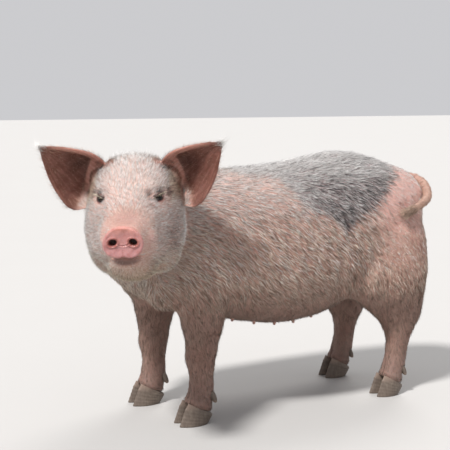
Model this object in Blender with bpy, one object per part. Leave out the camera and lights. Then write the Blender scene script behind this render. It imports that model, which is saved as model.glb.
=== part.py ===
"""A young domestic pig, life size, standing with its head turned to its left.

It faces -Y, its left is +X, up is +Z, and it stands on z = 0. Sizes are in metres.
Its flesh is fused from lofted tubes and masses, softened, and parted with thin cuts.
Ears, eyes, hooves and tail are pieces of their own, set in sockets with a thin gap.
"""

import math

import bmesh
import bpy
import numpy as np
from mathutils import Matrix, Vector
from mathutils.bvhtree import BVHTree

# The gap between neighbours, and how fine the fused flesh is.
GAP = 0.0003
VOXEL = 0.0032
BODY_TRIANGLES = 4000
HEAD_TRIANGLES = 2400
RING_SIDES = 40

SIDES = {"left": 1, "right": -1}

# The left foreleg and hind leg stand a little behind the right ones.
FORELEG_Y = {"left": 0.015, "right": -0.014}
HIND_LEG_Y = {"left": 0.008, "right": -0.012}

# Head pose: the middle of the snout's disc, and how the muzzle points.
SNOUT_CENTRE = Vector((0.262, -0.193, 0.345))
HEAD_YAW = math.radians(63.2)
HEAD_PITCH = math.radians(6.5)
HEAD_ROLL = math.radians(-1.6)

# Trunk and neck, from the rump to the back of the head:
# x, y, z of the middle, turn in degrees, half width, height above, depth below, widest line.
SPINE = (
    (0.000, 0.489, 0.345, 0, 0.014, 0.017, 0.018, 0.000),
    (0.000, 0.484, 0.341, 0, 0.044, 0.050, 0.054, 0.000),
    (0.000, 0.470, 0.328, 0, 0.070, 0.082, 0.082, -0.008),
    (0.000, 0.445, 0.318, 0, 0.086, 0.103, 0.100, -0.012),
    (0.000, 0.414, 0.312, 0, 0.098, 0.117, 0.106, -0.015),
    (0.000, 0.370, 0.306, 0, 0.108, 0.137, 0.112, -0.016),
    (0.000, 0.320, 0.300, 0, 0.116, 0.149, 0.126, -0.020),
    (0.000, 0.262, 0.296, 0, 0.123, 0.146, 0.144, -0.026),
    (0.000, 0.200, 0.293, 0, 0.127, 0.139, 0.150, -0.026),
    (0.000, 0.130, 0.293, 0, 0.125, 0.134, 0.143, -0.020),
    (0.000, 0.060, 0.296, 0, 0.117, 0.129, 0.130, -0.012),
    (0.000, 0.000, 0.299, 0, 0.108, 0.121, 0.120, -0.004),
    (0.000, -0.048, 0.304, 4, 0.099, 0.113, 0.105, 0.000),
    (0.010, -0.080, 0.314, 16, 0.088, 0.104, 0.095, 0.000),
    (0.034, -0.098, 0.329, 34, 0.080, 0.097, 0.090, 0.000),
    (0.064, -0.106, 0.345, 50, 0.073, 0.091, 0.087, 0.000),
    (0.090, -0.112, 0.357, 60, 0.068, 0.086, 0.084, 0.000),
)

# Head, in its own frame, by distance behind the snout's disc:
# distance, half width, height above the axis, depth below it, widest line.
HEAD = (
    (0.0020, 0.0160, 0.0135, 0.0125, 0.000),
    (0.0000, 0.0255, 0.0212, 0.0198, 0.000),
    (0.0035, 0.0300, 0.0250, 0.0232, 0.000),
    (0.0100, 0.0292, 0.0244, 0.0224, 0.000),
    (0.0170, 0.0266, 0.0230, 0.0212, 0.000),
    (0.0350, 0.0292, 0.0256, 0.0280, -0.003),
    (0.0550, 0.0362, 0.0300, 0.0400, -0.010),
    (0.0800, 0.0485, 0.0380, 0.0560, -0.016),
    (0.1050, 0.0600, 0.0520, 0.0720, -0.020),
    (0.1300, 0.0700, 0.0690, 0.0845, -0.022),
    (0.1550, 0.0750, 0.0830, 0.0905, -0.022),
    (0.1800, 0.0760, 0.0925, 0.0900, -0.018),
    (0.2050, 0.0730, 0.0935, 0.0850, -0.010),
    (0.2300, 0.0640, 0.0850, 0.0770, 0.000),
    (0.2480, 0.0540, 0.0700, 0.0640, 0.000),
)
HEAD_SQUARE = 0.82

# Lower jaw, below the mouth: distance behind the disc, height of its middle,
# half width, half height.
JAW = (
    (0.0185, -0.0300, 0.0050, 0.0040),
    (0.0205, -0.0305, 0.0115, 0.0080),
    (0.0270, -0.0325, 0.0175, 0.0115),
    (0.0420, -0.0380, 0.0235, 0.0155),
    (0.0620, -0.0480, 0.0300, 0.0190),
    (0.0920, -0.0610, 0.0370, 0.0210),
    (0.1250, -0.0700, 0.0380, 0.0200),
)

# The line of the mouth: distance behind the disc and height.
MOUTH = ((0.010, -0.0235), (0.030, -0.0262), (0.055, -0.0300), (0.078, -0.0300), (0.094, -0.0235))
MOUTH_THICKNESS = 0.0012
MOUTH_HALF_WIDTH = 0.062
LIP_RADIUS = 0.0042

# Nostrils.
NOSTRIL_CENTRE = Vector((0.0138, 0.0005, 0.0010))
NOSTRIL_RADII = (0.0056, 0.0105, 0.0049)
SNOUT_CUT = 0.0150

# Eyes, in the head's frame.
EYE_RADIUS = 0.0100
EYE_CENTRE = Vector((0.0392, 0.1165, 0.0400))
EYE_GAZE = Vector((0.72, -0.68, 0.12))
EYE_SLANT = math.radians(12)
LID_THICKNESS = 0.0026
LID_HALF_LENGTH = 0.0086
LID_HALF_OPENING = 0.0045

# Foreleg and hind leg sections from the top down:
# height, front, back, middle x, half width.
FORELEG = (
    (0.262, -0.056, 0.050, 0.060, 0.036),
    (0.225, -0.054, 0.052, 0.066, 0.036),
    (0.195, -0.044, 0.049, 0.070, 0.033),
    (0.168, -0.036, 0.041, 0.071, 0.030),
    (0.140, -0.030, 0.032, 0.071, 0.0262),
    (0.115, -0.0275, 0.0265, 0.071, 0.0240),
    (0.100, -0.0265, 0.0245, 0.071, 0.0228),
    (0.080, -0.0225, 0.0220, 0.071, 0.0205),
    (0.060, -0.0240, 0.0230, 0.071, 0.0212),
    (0.046, -0.0280, 0.0220, 0.071, 0.0228),
    (0.034, -0.0330, 0.0190, 0.071, 0.0236),
    (0.020, -0.0370, 0.0160, 0.071, 0.0240),
    (0.004, -0.0400, 0.0130, 0.071, 0.0240),
)
HIND_LEG = (
    (0.305, 0.300, 0.468, 0.056, 0.044),
    (0.262, 0.282, 0.471, 0.066, 0.048),
    (0.230, 0.279, 0.468, 0.072, 0.047),
    (0.203, 0.290, 0.463, 0.075, 0.042),
    (0.180, 0.312, 0.459, 0.076, 0.036),
    (0.160, 0.338, 0.456, 0.076, 0.030),
    (0.143, 0.359, 0.454, 0.075, 0.0258),
    (0.125, 0.374, 0.445, 0.074, 0.0232),
    (0.107, 0.382, 0.433, 0.074, 0.0216),
    (0.085, 0.383, 0.427, 0.074, 0.0204),
    (0.063, 0.379, 0.424, 0.074, 0.0210),
    (0.047, 0.374, 0.421, 0.074, 0.0228),
    (0.034, 0.368, 0.416, 0.074, 0.0234),
    (0.020, 0.364, 0.412, 0.074, 0.0238),
    (0.004, 0.361, 0.409, 0.074, 0.0238),
)

# Masses under the skin of each side: middle, radii and tilt about X in degrees.
BODY_MASSES = (
    ((0.064, 0.004, 0.290), (0.046, 0.074, 0.112), 14),
    ((0.062, -0.044, 0.250), (0.036, 0.044, 0.056), 0),
    ((0.062, 0.402, 0.268), (0.050, 0.078, 0.092), -10),
    ((0.080, 0.322, 0.232), (0.028, 0.044, 0.046), 0),
)
HEAD_MASSES = (
    ((0.040, 0.160, -0.050), (0.032, 0.052, 0.038), 0),
    ((0.030, 0.124, 0.049), (0.018, 0.024, 0.011), 35),
    ((0.050, 0.206, 0.050), (0.024, 0.020, 0.028), 0),
)

# Feet. The coronet is the slanting line where horn meets skin.
CORONET_FRONT = 0.036
CORONET_BACK = 0.017
FOOT_FRONT = {"fore": -0.0335, "hind": 0.3675}
FOOT_BACK = {"fore": 0.0155, "hind": 0.4115}
FOOT_X = {"fore": 0.071, "hind": 0.074}
FOOT_SHIFT = {"fore": FORELEG_Y, "hind": HIND_LEG_Y}
CLAW_HALF_WIDTH = 0.0108
CLAW_SPREAD = 0.0123
CLAW_TOE = 0.012
DEWCLAW_HEIGHT = 0.047
DEWCLAW_LENGTH = 0.018
DEWCLAW_RADIUS = 0.0064

# Ears, in the head's frame: the root's middle, the way to the tip, and the two margins
# as (part of the length, distance from the ear's axis).
EAR_ROOT = Vector((0.058, 0.190, 0.050))
EAR_TIP = Vector((0.139, 0.160, 0.113))
EAR_ACROSS = Vector((-0.61, 0.10, 0.79))
EAR_UPPER = ((-0.20, 0.024), (0.04, 0.034), (0.28, 0.0385), (0.58, 0.029), (0.85, 0.0135), (1.0, 0.0022))
EAR_LOWER = ((-0.20, 0.026), (0.00, 0.046), (0.16, 0.0565), (0.36, 0.051), (0.68, 0.031), (0.88, 0.0140), (1.0, 0.0022))
EAR_CUP = ((-0.20, 0.030), (0.05, 0.026), (0.35, 0.015), (0.70, 0.006), (1.0, 0.001))
EAR_THICKNESS = 0.0046

# Tail: it leaves the rump, bends over to the left and lies forward on the ham.
TAIL_PATH = (
    (0.000, 0.436, 0.384),
    (0.001, 0.462, 0.394),
    (0.010, 0.485, 0.396),
    (0.030, 0.4985, 0.386),
    (0.052, 0.491, 0.370),
    (0.074, 0.467, 0.357),
    (0.090, 0.438, 0.348),
    (0.103, 0.408, 0.340),
)
TAIL_ROOT_RADIUS = 0.0135
TAIL_TIP_RADIUS = 0.0060

COLOURS = {
    "skin": ((0.72, 0.47, 0.40), 0.65),
    "disc": ((0.78, 0.42, 0.39), 0.45),
    "horn": ((0.22, 0.18, 0.15), 0.45),
    "eye": ((0.015, 0.010, 0.009), 0.06),
}


def clear_scene():
    for item in list(bpy.data.objects):
        bpy.data.objects.remove(item)


def smooth_rows(rows, count, axes=3):
    """Rows of a table drawn out to count rows on a smooth curve through them all."""
    rows = np.array(rows, float)
    steps = np.linalg.norm(np.diff(rows[:, :axes], axis=0), axis=1)
    at = np.concatenate([[0], np.cumsum(np.maximum(steps, 1e-5))])
    slope = np.gradient(rows, at, axis=0)
    t = np.linspace(0, at[-1], count)
    i = np.clip(np.searchsorted(at, t, side="right") - 1, 0, len(rows) - 2)
    span = (at[i + 1] - at[i])[:, None]
    u = ((t - at[i]) / (at[i + 1] - at[i]))[:, None]
    a, b = rows[i], rows[i + 1]
    return (
        a * (2 * u**3 - 3 * u**2 + 1)
        + slope[i] * span * (u**3 - 2 * u**2 + u)
        + b * (3 * u**2 - 2 * u**3)
        + slope[i + 1] * span * (u**3 - u**2)
    )


def along(table, t):
    """A table's value at t, on a smooth curve through its points."""
    x, y = np.array(table, float).T
    slope = np.gradient(y, x)
    i = np.clip(np.searchsorted(x, t, side="right") - 1, 0, len(x) - 2)
    span = x[i + 1] - x[i]
    u = (t - x[i]) / span
    return (
        y[i] * (2 * u**3 - 3 * u**2 + 1)
        + slope[i] * span * (u**3 - 2 * u**2 + u)
        + y[i + 1] * (3 * u**2 - 2 * u**3)
        + slope[i + 1] * span * (u**3 - u**2)
    )


def outline(width, above, below, widest=0.0, square=1.0, sides=RING_SIDES):
    """A closed section as (across, up) pairs: an oval, fuller as square falls below 1."""
    angle = np.linspace(0, 2 * math.pi, sides, endpoint=False)
    cosine, sine = np.cos(angle), np.sin(angle)
    across = width * np.sign(cosine) * np.abs(cosine) ** square
    high = widest + (above - widest) * np.abs(sine) ** square
    low = widest - (below + widest) * np.abs(sine) ** square
    return np.stack([across, np.where(sine >= 0, high, low)], 1)


def object_from(name, mesh):
    data = bpy.data.meshes.new(name)
    mesh.to_mesh(data)
    mesh.free()
    item = bpy.data.objects.new(name, data)
    bpy.context.scene.collection.objects.link(item)
    return item


def loft(name, rings):
    """A closed tube through rings of points, each with the same number of points."""
    mesh = bmesh.new()
    loops = [[mesh.verts.new(point) for point in ring] for ring in rings]
    sides = len(loops[0])
    for lower, upper in zip(loops, loops[1:]):
        for i in range(sides):
            j = (i + 1) % sides
            mesh.faces.new((lower[i], lower[j], upper[j], upper[i]))
    for loop in (loops[0], loops[-1]):
        middle = mesh.verts.new(sum((v.co for v in loop), Vector()) / sides)
        for i in range(sides):
            mesh.faces.new((loop[i], loop[(i + 1) % sides], middle))
    bmesh.ops.recalc_face_normals(mesh, faces=mesh.faces)
    return object_from(name, mesh)


def shell(name, inner_rows, outer_rows):
    """A closed sheet between two grids of points, split into triangles alike on both faces."""
    mesh = bmesh.new()
    inner = [[mesh.verts.new(point) for point in row] for row in inner_rows]
    outer = [[mesh.verts.new(point) for point in row] for row in outer_rows]
    for grid in (inner, outer):
        for low, high in zip(grid, grid[1:]):
            for a, b, c, d in zip(low, low[1:], high[1:], high):
                mesh.faces.new((a, b, c))
                mesh.faces.new((a, c, d))
    rims = [(inner[0], outer[0]), (inner[-1], outer[-1])]
    rims += [([row[end] for row in inner], [row[end] for row in outer]) for end in (0, -1)]
    for near, far in rims:
        for a, b, c, d in zip(near, near[1:], far[1:], far):
            mesh.faces.new((a, b, c, d))
    bmesh.ops.recalc_face_normals(mesh, faces=mesh.faces)
    return object_from(name, mesh)


def ball(name, centre, radii, turn=None, segments=24):
    """An ellipsoid about centre, turned by a 3x3 matrix if one is given."""
    mesh = bmesh.new()
    bmesh.ops.create_uvsphere(mesh, u_segments=segments, v_segments=segments // 2, radius=1)
    shape = Matrix.Diagonal(Vector(radii)).to_4x4()
    turned = turn.to_4x4() if turn else Matrix.Identity(4)
    place = Matrix.Translation(centre) @ turned @ shape
    bmesh.ops.transform(mesh, matrix=place, verts=mesh.verts)
    return object_from(name, mesh)


def box(name, centre, turn, size):
    """A box about centre, turned by a 3x3 matrix."""
    mesh = bmesh.new()
    bmesh.ops.create_cube(mesh, size=1)
    place = Matrix.Translation(centre) @ turn.to_4x4() @ Matrix.Diagonal(Vector(size)).to_4x4()
    bmesh.ops.transform(mesh, matrix=place, verts=mesh.verts)
    return object_from(name, mesh)


def facing(normal):
    """A 3x3 turn that takes +Z to the normal and keeps X level."""
    return Vector(normal).to_track_quat("Z", "X").to_matrix()


def knife(centre, normal, size):
    """A plate as thick as the gap, across the normal."""
    return box("knife", centre, facing(normal), (*size, GAP))


def head_matrix():
    """Takes the head's own frame, facing -Y with +Z up, to its place on the pig."""
    turn = Matrix.Rotation(HEAD_YAW, 4, "Z") @ Matrix.Rotation(HEAD_PITCH, 4, "X")
    return Matrix.Translation(SNOUT_CENTRE) @ turn @ Matrix.Rotation(HEAD_ROLL, 4, "Y")


def on_head(item):
    item.data.transform(head_matrix())
    return item


def mirrored(point, sign):
    return Vector((sign * point[0], point[1], point[2]))


def applied(item):
    """Puts what the object's modifiers make into its mesh."""
    bpy.context.view_layer.update()
    graph = bpy.context.evaluated_depsgraph_get()
    made = bpy.data.meshes.new_from_object(item.evaluated_get(graph))
    item.modifiers.clear()
    item.data = made
    return item


def combine(item, others, operation):
    """One Boolean of the object with all the others, which are then removed."""
    group = bpy.data.collections.new("operands")
    bpy.context.scene.collection.children.link(group)
    for other in others:
        group.objects.link(other)
    modifier = item.modifiers.new("combine", "BOOLEAN")
    modifier.operation = operation
    modifier.solver = "MANIFOLD"
    modifier.operand_type = "COLLECTION"
    modifier.collection = group
    applied(item)
    for other in others:
        bpy.data.objects.remove(other)
    bpy.data.collections.remove(group)
    return item


def inflated(item, by=1.3 * GAP):
    """A copy whose points are moved out along their normals, to cut a socket."""
    copy = item.copy()
    copy.data = item.data.copy()
    bpy.context.scene.collection.objects.link(copy)
    normals = [vertex.normal.copy() for vertex in copy.data.vertices]
    for vertex, normal in zip(copy.data.vertices, normals):
        vertex.co += normal * by
    return copy


def islands(item):
    """The object's closed surfaces as new objects, largest first. The object is removed."""
    mesh = bmesh.new()
    mesh.from_mesh(item.data)
    left = set(mesh.verts)
    groups = []
    while left:
        queue = [left.pop()]
        group = set(queue)
        while queue:
            for edge in queue.pop().link_edges:
                for vertex in edge.verts:
                    if vertex in left:
                        left.remove(vertex)
                        group.add(vertex)
                        queue.append(vertex)
        groups.append(group)
    groups.sort(key=len, reverse=True)
    pieces = []
    for group in groups:
        piece = bmesh.new()
        made = {vertex: piece.verts.new(vertex.co) for vertex in group}
        for face in {face for vertex in group for face in vertex.link_faces}:
            piece.faces.new([made[vertex] for vertex in face.verts])
        pieces.append(object_from("island", piece))
    mesh.free()
    bpy.data.objects.remove(item)
    return pieces


def largest_only(item):
    """The object with only its largest closed surface left."""
    name = item.name
    item.name = name + "_whole"
    kept, *scraps = islands(item)
    for scrap in scraps:
        bpy.data.objects.remove(scrap)
    kept.name = name
    return kept


def spine_rings():
    rings = []
    for x, y, z, turn, width, above, below, widest in smooth_rows(SPINE, 70):
        across = Vector((math.cos(math.radians(turn)), math.sin(math.radians(turn)), 0))
        middle = Vector((x, y, z))
        section = outline(width, above, below, widest, 0.94)
        rings.append([middle + across * a + Vector((0, 0, u)) for a, u in section])
    return rings


def head_rings():
    return [
        [Vector((a, back, u)) for a, u in outline(width, above, below, widest, HEAD_SQUARE)]
        for back, width, above, below, widest in smooth_rows(HEAD, 64, axes=2)
    ]


def jaw_rings():
    return [
        [Vector((a, back, middle + u)) for a, u in outline(width, half, half)]
        for back, middle, width, half in smooth_rows(JAW, 26, axes=1)
    ]


def leg_rings(rows, side, shift):
    rings = []
    for z, front, back, x, width in smooth_rows(rows, 48, axes=1):
        middle = Vector((side * x, shift + (front + back) / 2, z))
        section = outline(width, (back - front) / 2, (back - front) / 2, 0, 0.92)
        rings.append([middle + Vector((a, u, 0)) for a, u in section])
    return rings


def tube(name, points, radii, sides=12):
    """A round closed tube along points."""
    rings = []
    for i, (point, radius) in enumerate(zip(points, radii)):
        ahead = points[min(i + 1, len(points) - 1)] - points[max(i - 1, 0)]
        turn = ahead.to_track_quat("Z", "Y").to_matrix()
        section = outline(radius, radius, radius, sides=sides)
        rings.append([point + turn @ Vector((a, u, 0)) for a, u in section])
    return loft(name, rings)


def lip_pieces():
    """A roll along the upper lip of each side, just above the line of the mouth."""
    pieces = []
    rows = smooth_rows(MOUTH, 16, axes=2)
    for sign in SIDES.values():
        points = []
        for back, height in rows:
            if back > 0.024:
                half = float(along([row[:2] for row in HEAD[1:]], back))
                points.append(Vector((sign * (half - 0.0045), back, height + 0.0035)))
        radii = [LIP_RADIUS * (1 - 0.5 * i / len(points)) for i in range(len(points))]
        pieces.append(tube("lip", points, radii))
    return pieces


def flesh_pieces():
    """The overlapping closed shapes that the flesh is fused from."""
    pieces = [loft("skull", head_rings()), loft("jaw", jaw_rings()), *lip_pieces()]
    for sign in SIDES.values():
        for centre, radii, tilt in HEAD_MASSES:
            turn = Matrix.Rotation(math.radians(tilt), 3, "X")
            pieces.append(ball("mass", mirrored(centre, sign), radii, turn))
    pieces = [on_head(piece) for piece in pieces]
    pieces.append(loft("spine", spine_rings()))
    for side, sign in SIDES.items():
        pieces.append(loft("foreleg", leg_rings(FORELEG, sign, FORELEG_Y[side])))
        pieces.append(loft("hind_leg", leg_rings(HIND_LEG, sign, HIND_LEG_Y[side])))
        for centre, radii, tilt in BODY_MASSES:
            turn = Matrix.Rotation(math.radians(tilt), 3, "X")
            pieces.append(ball("mass", mirrored(centre, sign), radii, turn))
    return pieces


def joined(name, pieces):
    """One object that holds the meshes of all the pieces, which are then removed."""
    mesh = bmesh.new()
    for piece in pieces:
        mesh.from_mesh(piece.data)
        bpy.data.objects.remove(piece)
    return object_from(name, mesh)


def weigh(item, name, weight):
    group = item.vertex_groups.new(name=name)
    for vertex in item.data.vertices:
        group.add([vertex.index], weight(vertex.co), "REPLACE")
    return group.name


def soften(item):
    """Blends the fused shapes: most where limbs and neck join the trunk, least on the snout."""
    joins = [(Vector((0.035, -0.095, 0.33)), 0.09)]
    for side, sign in SIDES.items():
        joins.append((Vector((sign * 0.07, FORELEG_Y[side], 0.225)), 0.075))
        joins.append((Vector((sign * 0.07, 0.36, 0.245)), 0.095))
    near_head = head_matrix() @ Vector((0, 0.12, 0))

    def weight(place):
        nearest = max(math.exp(-(((place - c).length / r) ** 2)) for c, r in joins)
        face = min(1.0, max(0.0, ((place - near_head).length - 0.10) / 0.06))
        disc = min(1.0, max(0.0, ((place - SNOUT_CENTRE).length - 0.028) / 0.02))
        return (0.25 + 0.75 * nearest) * (0.40 + 0.60 * face) * (0.08 + 0.92 * disc)

    smooth = item.modifiers.new("soften", "SMOOTH")
    smooth.vertex_group = weigh(item, "soft", weight)
    smooth.factor = 0.9
    smooth.iterations = 60
    return applied(item)


def thin_out(item, group, invert, triangles, kept):
    """Lowers the number of triangles to a count, outside or inside the group."""
    decimate = item.modifiers.new("fewer_faces", "DECIMATE")
    decimate.vertex_group = group
    decimate.invert_vertex_group = invert
    total = sum(len(face.vertices) - 2 for face in item.data.polygons)
    decimate.ratio = (triangles + kept) / total
    return applied(item)


def fused_flesh():
    flesh = joined("flesh", flesh_pieces())
    remesh = flesh.modifiers.new("fuse", "REMESH")
    remesh.mode = "VOXEL"
    remesh.voxel_size = VOXEL
    soften(applied(flesh))
    middle = head_matrix() @ Vector((0, 0.10, 0))
    group = weigh(flesh, "head", lambda place: float((place - middle).length < 0.125))
    inside = flesh.vertex_groups[group].index
    head_points = {v.index for v in flesh.data.vertices if any(
        g.group == inside and g.weight > 0.5 for g in v.groups)}
    head_now = 2 * sum(all(i in head_points for i in f.vertices) for f in flesh.data.polygons)
    thin_out(flesh, group, True, BODY_TRIANGLES, head_now)
    thin_out(flesh, group, False, HEAD_TRIANGLES, BODY_TRIANGLES)
    flesh.vertex_groups.clear()
    return flesh


def part_nodes(flesh):
    """Cuts the flesh into its named nodes."""
    head = head_matrix()
    forward = head.to_3x3() @ Vector((0, -1, 0))
    neck_turn = math.radians(50)
    knives = [
        knife(head @ Vector((0, SNOUT_CUT, 0)), forward, (0.10, 0.10)),
        knife((0.056, -0.117, 0.345), (math.sin(neck_turn), -math.cos(neck_turn), 0), (0.26, 0.25)),
        knife((0.0, -0.030, 0.305), (0, -1, 0.25), (0.29, 0.30)),
        knife((0.0, 0.112, 0.30), (0, 1, 0), (0.40, 0.40)),
        knife((0.0, 0.258, 0.30), (0, 1, 0), (0.40, 0.40)),
    ]
    seeds = {
        "snout": head @ Vector((0, 0.007, 0)),
        "head": head @ Vector((0, 0.12, 0)),
        "neck": Vector((0.0, -0.085, 0.32)),
        "shoulders": Vector((0.0, 0.04, 0.30)),
        "barrel": Vector((0.0, 0.185, 0.29)),
        "hindquarters": Vector((0.0, 0.37, 0.31)),
    }
    for side, sign in SIDES.items():
        fore, hind = FORELEG_Y[side], HIND_LEG_Y[side]
        knives += [
            knife((sign * 0.078, fore + 0.002, 0.181), (sign * 0.42, 0, -0.9), (0.095, 0.13)),
            knife((sign * 0.071, fore, 0.107), (0, 0, 1), (0.075, 0.08)),
            knife((sign * 0.076, hind + 0.385, 0.178), (0, 0.40, -0.9), (0.21, 0.10)),
            knife((sign * 0.074, hind + 0.410, 0.118), (0, 0.25, -0.97), (0.11, 0.075)),
        ]
        seeds["foreleg_upper_" + side] = Vector((sign * 0.071, fore, 0.14))
        seeds["foreleg_lower_" + side] = Vector((sign * 0.071, fore, 0.07))
        seeds["hind_leg_upper_" + side] = Vector((sign * 0.075, hind + 0.40, 0.15))
        seeds["hind_leg_lower_" + side] = Vector((sign * 0.074, hind + 0.40, 0.07))
    combine(flesh, knives + foot_cutters(), "DIFFERENCE")
    nodes = {}
    for piece in islands(flesh):
        middle = sum((Vector(c) for c in piece.bound_box), Vector()) / 8
        name = min(seeds, key=lambda seed: (seeds[seed] - middle).length)
        if name in nodes:
            bpy.data.objects.remove(piece)
            continue
        piece.name = name
        nodes[name] = piece
    return nodes


def coronet(foot, side):
    """The middle of a foot's coronet plane, and its normal."""
    front, back = FOOT_FRONT[foot], FOOT_BACK[foot]
    shift = FOOT_SHIFT[foot][side]
    middle = Vector((
        SIDES[side] * FOOT_X[foot],
        shift + (front + back) / 2,
        (CORONET_FRONT + CORONET_BACK) / 2,
    ))
    slope = (CORONET_FRONT - CORONET_BACK) / (back - front)
    return middle, Vector((0, slope, 1)).normalized()


def foot_cutters():
    """Boxes that take off the flesh below each coronet."""
    cutters = []
    for foot in FOOT_X:
        for side in SIDES:
            middle, normal = coronet(foot, side)
            centre = middle - normal * 0.03
            cutters.append(box("under", centre, facing(normal), (0.09, 0.10, 0.06)))
    return cutters


def claw(foot, side, place):
    """One of the two main claws: pointed in front, round at the heel, sloping forward."""
    middle, normal = coronet(foot, side)
    outward = 1 if place == "outer" else -1
    half = (FOOT_BACK[foot] - FOOT_FRONT[foot]) / 2
    rings = []
    for t in np.linspace(0, 1, 4):
        height = t * (CORONET_FRONT + 0.006)
        ahead = -CLAW_TOE * (1 - t) ** 1.2
        length = half + 0.0015 * (1 - t)
        width = CLAW_HALF_WIDTH * (1 - 0.06 * t)
        ring = []
        for angle in np.linspace(0, 2 * math.pi, 12, endpoint=False):
            c, s = math.cos(angle), math.sin(angle)
            point = 1 - 0.38 * max(0.0, -s) ** 2
            inner = 0.86 if c < 0 else 1.0
            ring.append(Vector((
                middle.x + outward * SIDES[side] * (CLAW_SPREAD + width * inner * c * point),
                middle.y + ahead + length * s,
                height,
            )))
        rings.append(ring)
    piece = loft(f"claw_{foot}_{side}_{place}", rings)
    centre = middle + normal * (0.03 - GAP)
    return combine(piece, [box("above", centre, facing(normal), (0.12, 0.14, 0.06))], "DIFFERENCE")


def dewclaw(foot, side, place):
    """A small cone behind the fetlock, pointing down and back."""
    outward = SIDES[side] * (1 if place == "outer" else -1)
    middle, _ = coronet(foot, side)
    back = FOOT_BACK[foot] + FOOT_SHIFT[foot][side]
    top = Vector((middle.x + outward * 0.0115, back - 0.003, DEWCLAW_HEIGHT + 0.004))
    down = Vector((outward * 0.25, 0.42, -0.85)).normalized()
    steps = np.linspace(0, 1, 4)
    points = [top + down * DEWCLAW_LENGTH * t for t in steps]
    radii = [DEWCLAW_RADIUS * math.sqrt(max(0.03, 1 - 0.9 * t * t)) for t in steps]
    return tube(f"dewclaw_{foot}_{side}_{place}", points, radii, sides=7)


def ear(side):
    """A cupped leaf: a shell whose sections bow backwards between its two margins."""
    sign = SIDES[side]
    reach = EAR_TIP - EAR_ROOT
    ahead = reach.normalized()
    across = (EAR_ACROSS - ahead * EAR_ACROSS.dot(ahead)).normalized()
    behind = across.cross(ahead).normalized()
    inner_rows, outer_rows = [], []
    for t in np.linspace(-0.20, 1.0, 12):
        upper, lower = float(along(EAR_UPPER, t)), float(along(EAR_LOWER, t))
        cup = float(along(EAR_CUP, t))
        thick = EAR_THICKNESS * (1 - 0.45 * max(0.0, t)) / 2
        inner, outer = [], []
        for w in np.linspace(-1, 1, 9):
            side_width = upper if w > 0 else lower
            bow = cup * (1 - abs(w) ** 2.4) - 0.004 * max(0.0, w - 0.6)
            slope = -2.4 * cup * abs(w) ** 1.4 * (1 if w > 0 else -1) / side_width
            lean = Vector((-slope, 1.0)).normalized() * thick * (1 - 0.35 * w**4)
            middle = EAR_ROOT + reach * t + across * side_width * w + behind * bow
            shift = across * lean.x + behind * lean.y
            inner.append(mirrored(middle - shift, sign))
            outer.append(mirrored(middle + shift, sign))
        inner_rows.append(inner)
        outer_rows.append(outer)
    return shell("ear_" + side, inner_rows, outer_rows)


def eye_turn(sign):
    """Turns +Z to the gaze and +X to the back corner of the eye."""
    gaze = mirrored(EYE_GAZE, sign).normalized()
    level = Vector((0, 0, 1)).cross(gaze).normalized() * sign
    upward = (gaze.cross(level) * sign).normalized()
    back_corner = level * math.cos(EYE_SLANT) + upward * math.sin(EYE_SLANT)
    lid_up = gaze.cross(back_corner)
    return Matrix((back_corner, lid_up, gaze)).transposed()


def lid_opening(sign):
    """A prism with an almond outline, from the middle of the eye outwards."""
    turn = eye_turn(sign)
    centre = mirrored(EYE_CENTRE, sign)
    rings = []
    for depth in (0.0, 0.03):
        ring = []
        for angle in np.linspace(0, 2 * math.pi, 16, endpoint=False):
            a = LID_HALF_LENGTH * math.cos(angle)
            u = LID_HALF_OPENING * math.sin(angle) * abs(math.sin(angle)) ** 0.25
            ring.append(centre + turn @ Vector((a, u, depth)))
        rings.append(ring)
    return on_head(loft("opening", rings))


def mouth_cutter():
    """A thin bent sheet through the front of the head, along the line of the mouth."""
    rows = smooth_rows(MOUTH, 14, axes=2)
    half = MOUTH_HALF_WIDTH
    rings = []
    for i, (back, height) in enumerate(rows):
        thick = MOUTH_THICKNESS / 2 * (1 - 0.5 * i / len(rows))
        rings.append([
            Vector((half, back, height - thick)),
            Vector((half, back, height + thick)),
            Vector((-half, back, height + thick)),
            Vector((-half, back, height - thick)),
        ])
    return on_head(loft("mouth", rings))


def finish_head(nodes):
    """Adds the lids, and cuts the mouth, the nostrils and the sockets."""
    lids, openings, pits = [], [], []
    for side, sign in SIDES.items():
        centre = mirrored(EYE_CENTRE, sign)
        radius = EYE_RADIUS + LID_THICKNESS
        lids.append(on_head(ball("lid", centre, (radius,) * 3, eye_turn(sign), 20)))
        openings.append(lid_opening(sign))
        openings.append(on_head(ball("socket", centre, (EYE_RADIUS + GAP,) * 3, eye_turn(sign), 18)))
        pits.append(on_head(ball("nostril", mirrored(NOSTRIL_CENTRE, sign), NOSTRIL_RADII, None, 12)))
        eye = ball("eye_" + side, centre, (EYE_RADIUS - 0.0002,) * 3, eye_turn(sign), 18)
        nodes["eye_" + side] = on_head(eye)
        nodes["ear_" + side] = on_head(ear(side))
        openings.append(inflated(nodes["ear_" + side]))
    openings.append(mouth_cutter())
    combine(nodes["head"], lids, "UNION")
    combine(nodes["head"], openings, "DIFFERENCE")
    nodes["head"] = largest_only(nodes["head"])
    combine(nodes["snout"], pits, "DIFFERENCE")
    combine(nodes["neck"], [inflated(nodes["ear_" + side]) for side in SIDES], "DIFFERENCE")
    nodes["neck"] = largest_only(nodes["neck"])


def add_feet(nodes):
    for foot, leg in (("fore", "foreleg_lower_"), ("hind", "hind_leg_lower_")):
        for side in SIDES:
            sockets = []
            for place in ("outer", "inner"):
                nodes[f"claw_{foot}_{side}_{place}"] = claw(foot, side, place)
                spur = dewclaw(foot, side, place)
                nodes[spur.name] = spur
                sockets.append(inflated(spur))
            combine(nodes[leg + side], sockets, "DIFFERENCE")
            nodes[leg + side] = largest_only(nodes[leg + side])


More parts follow.
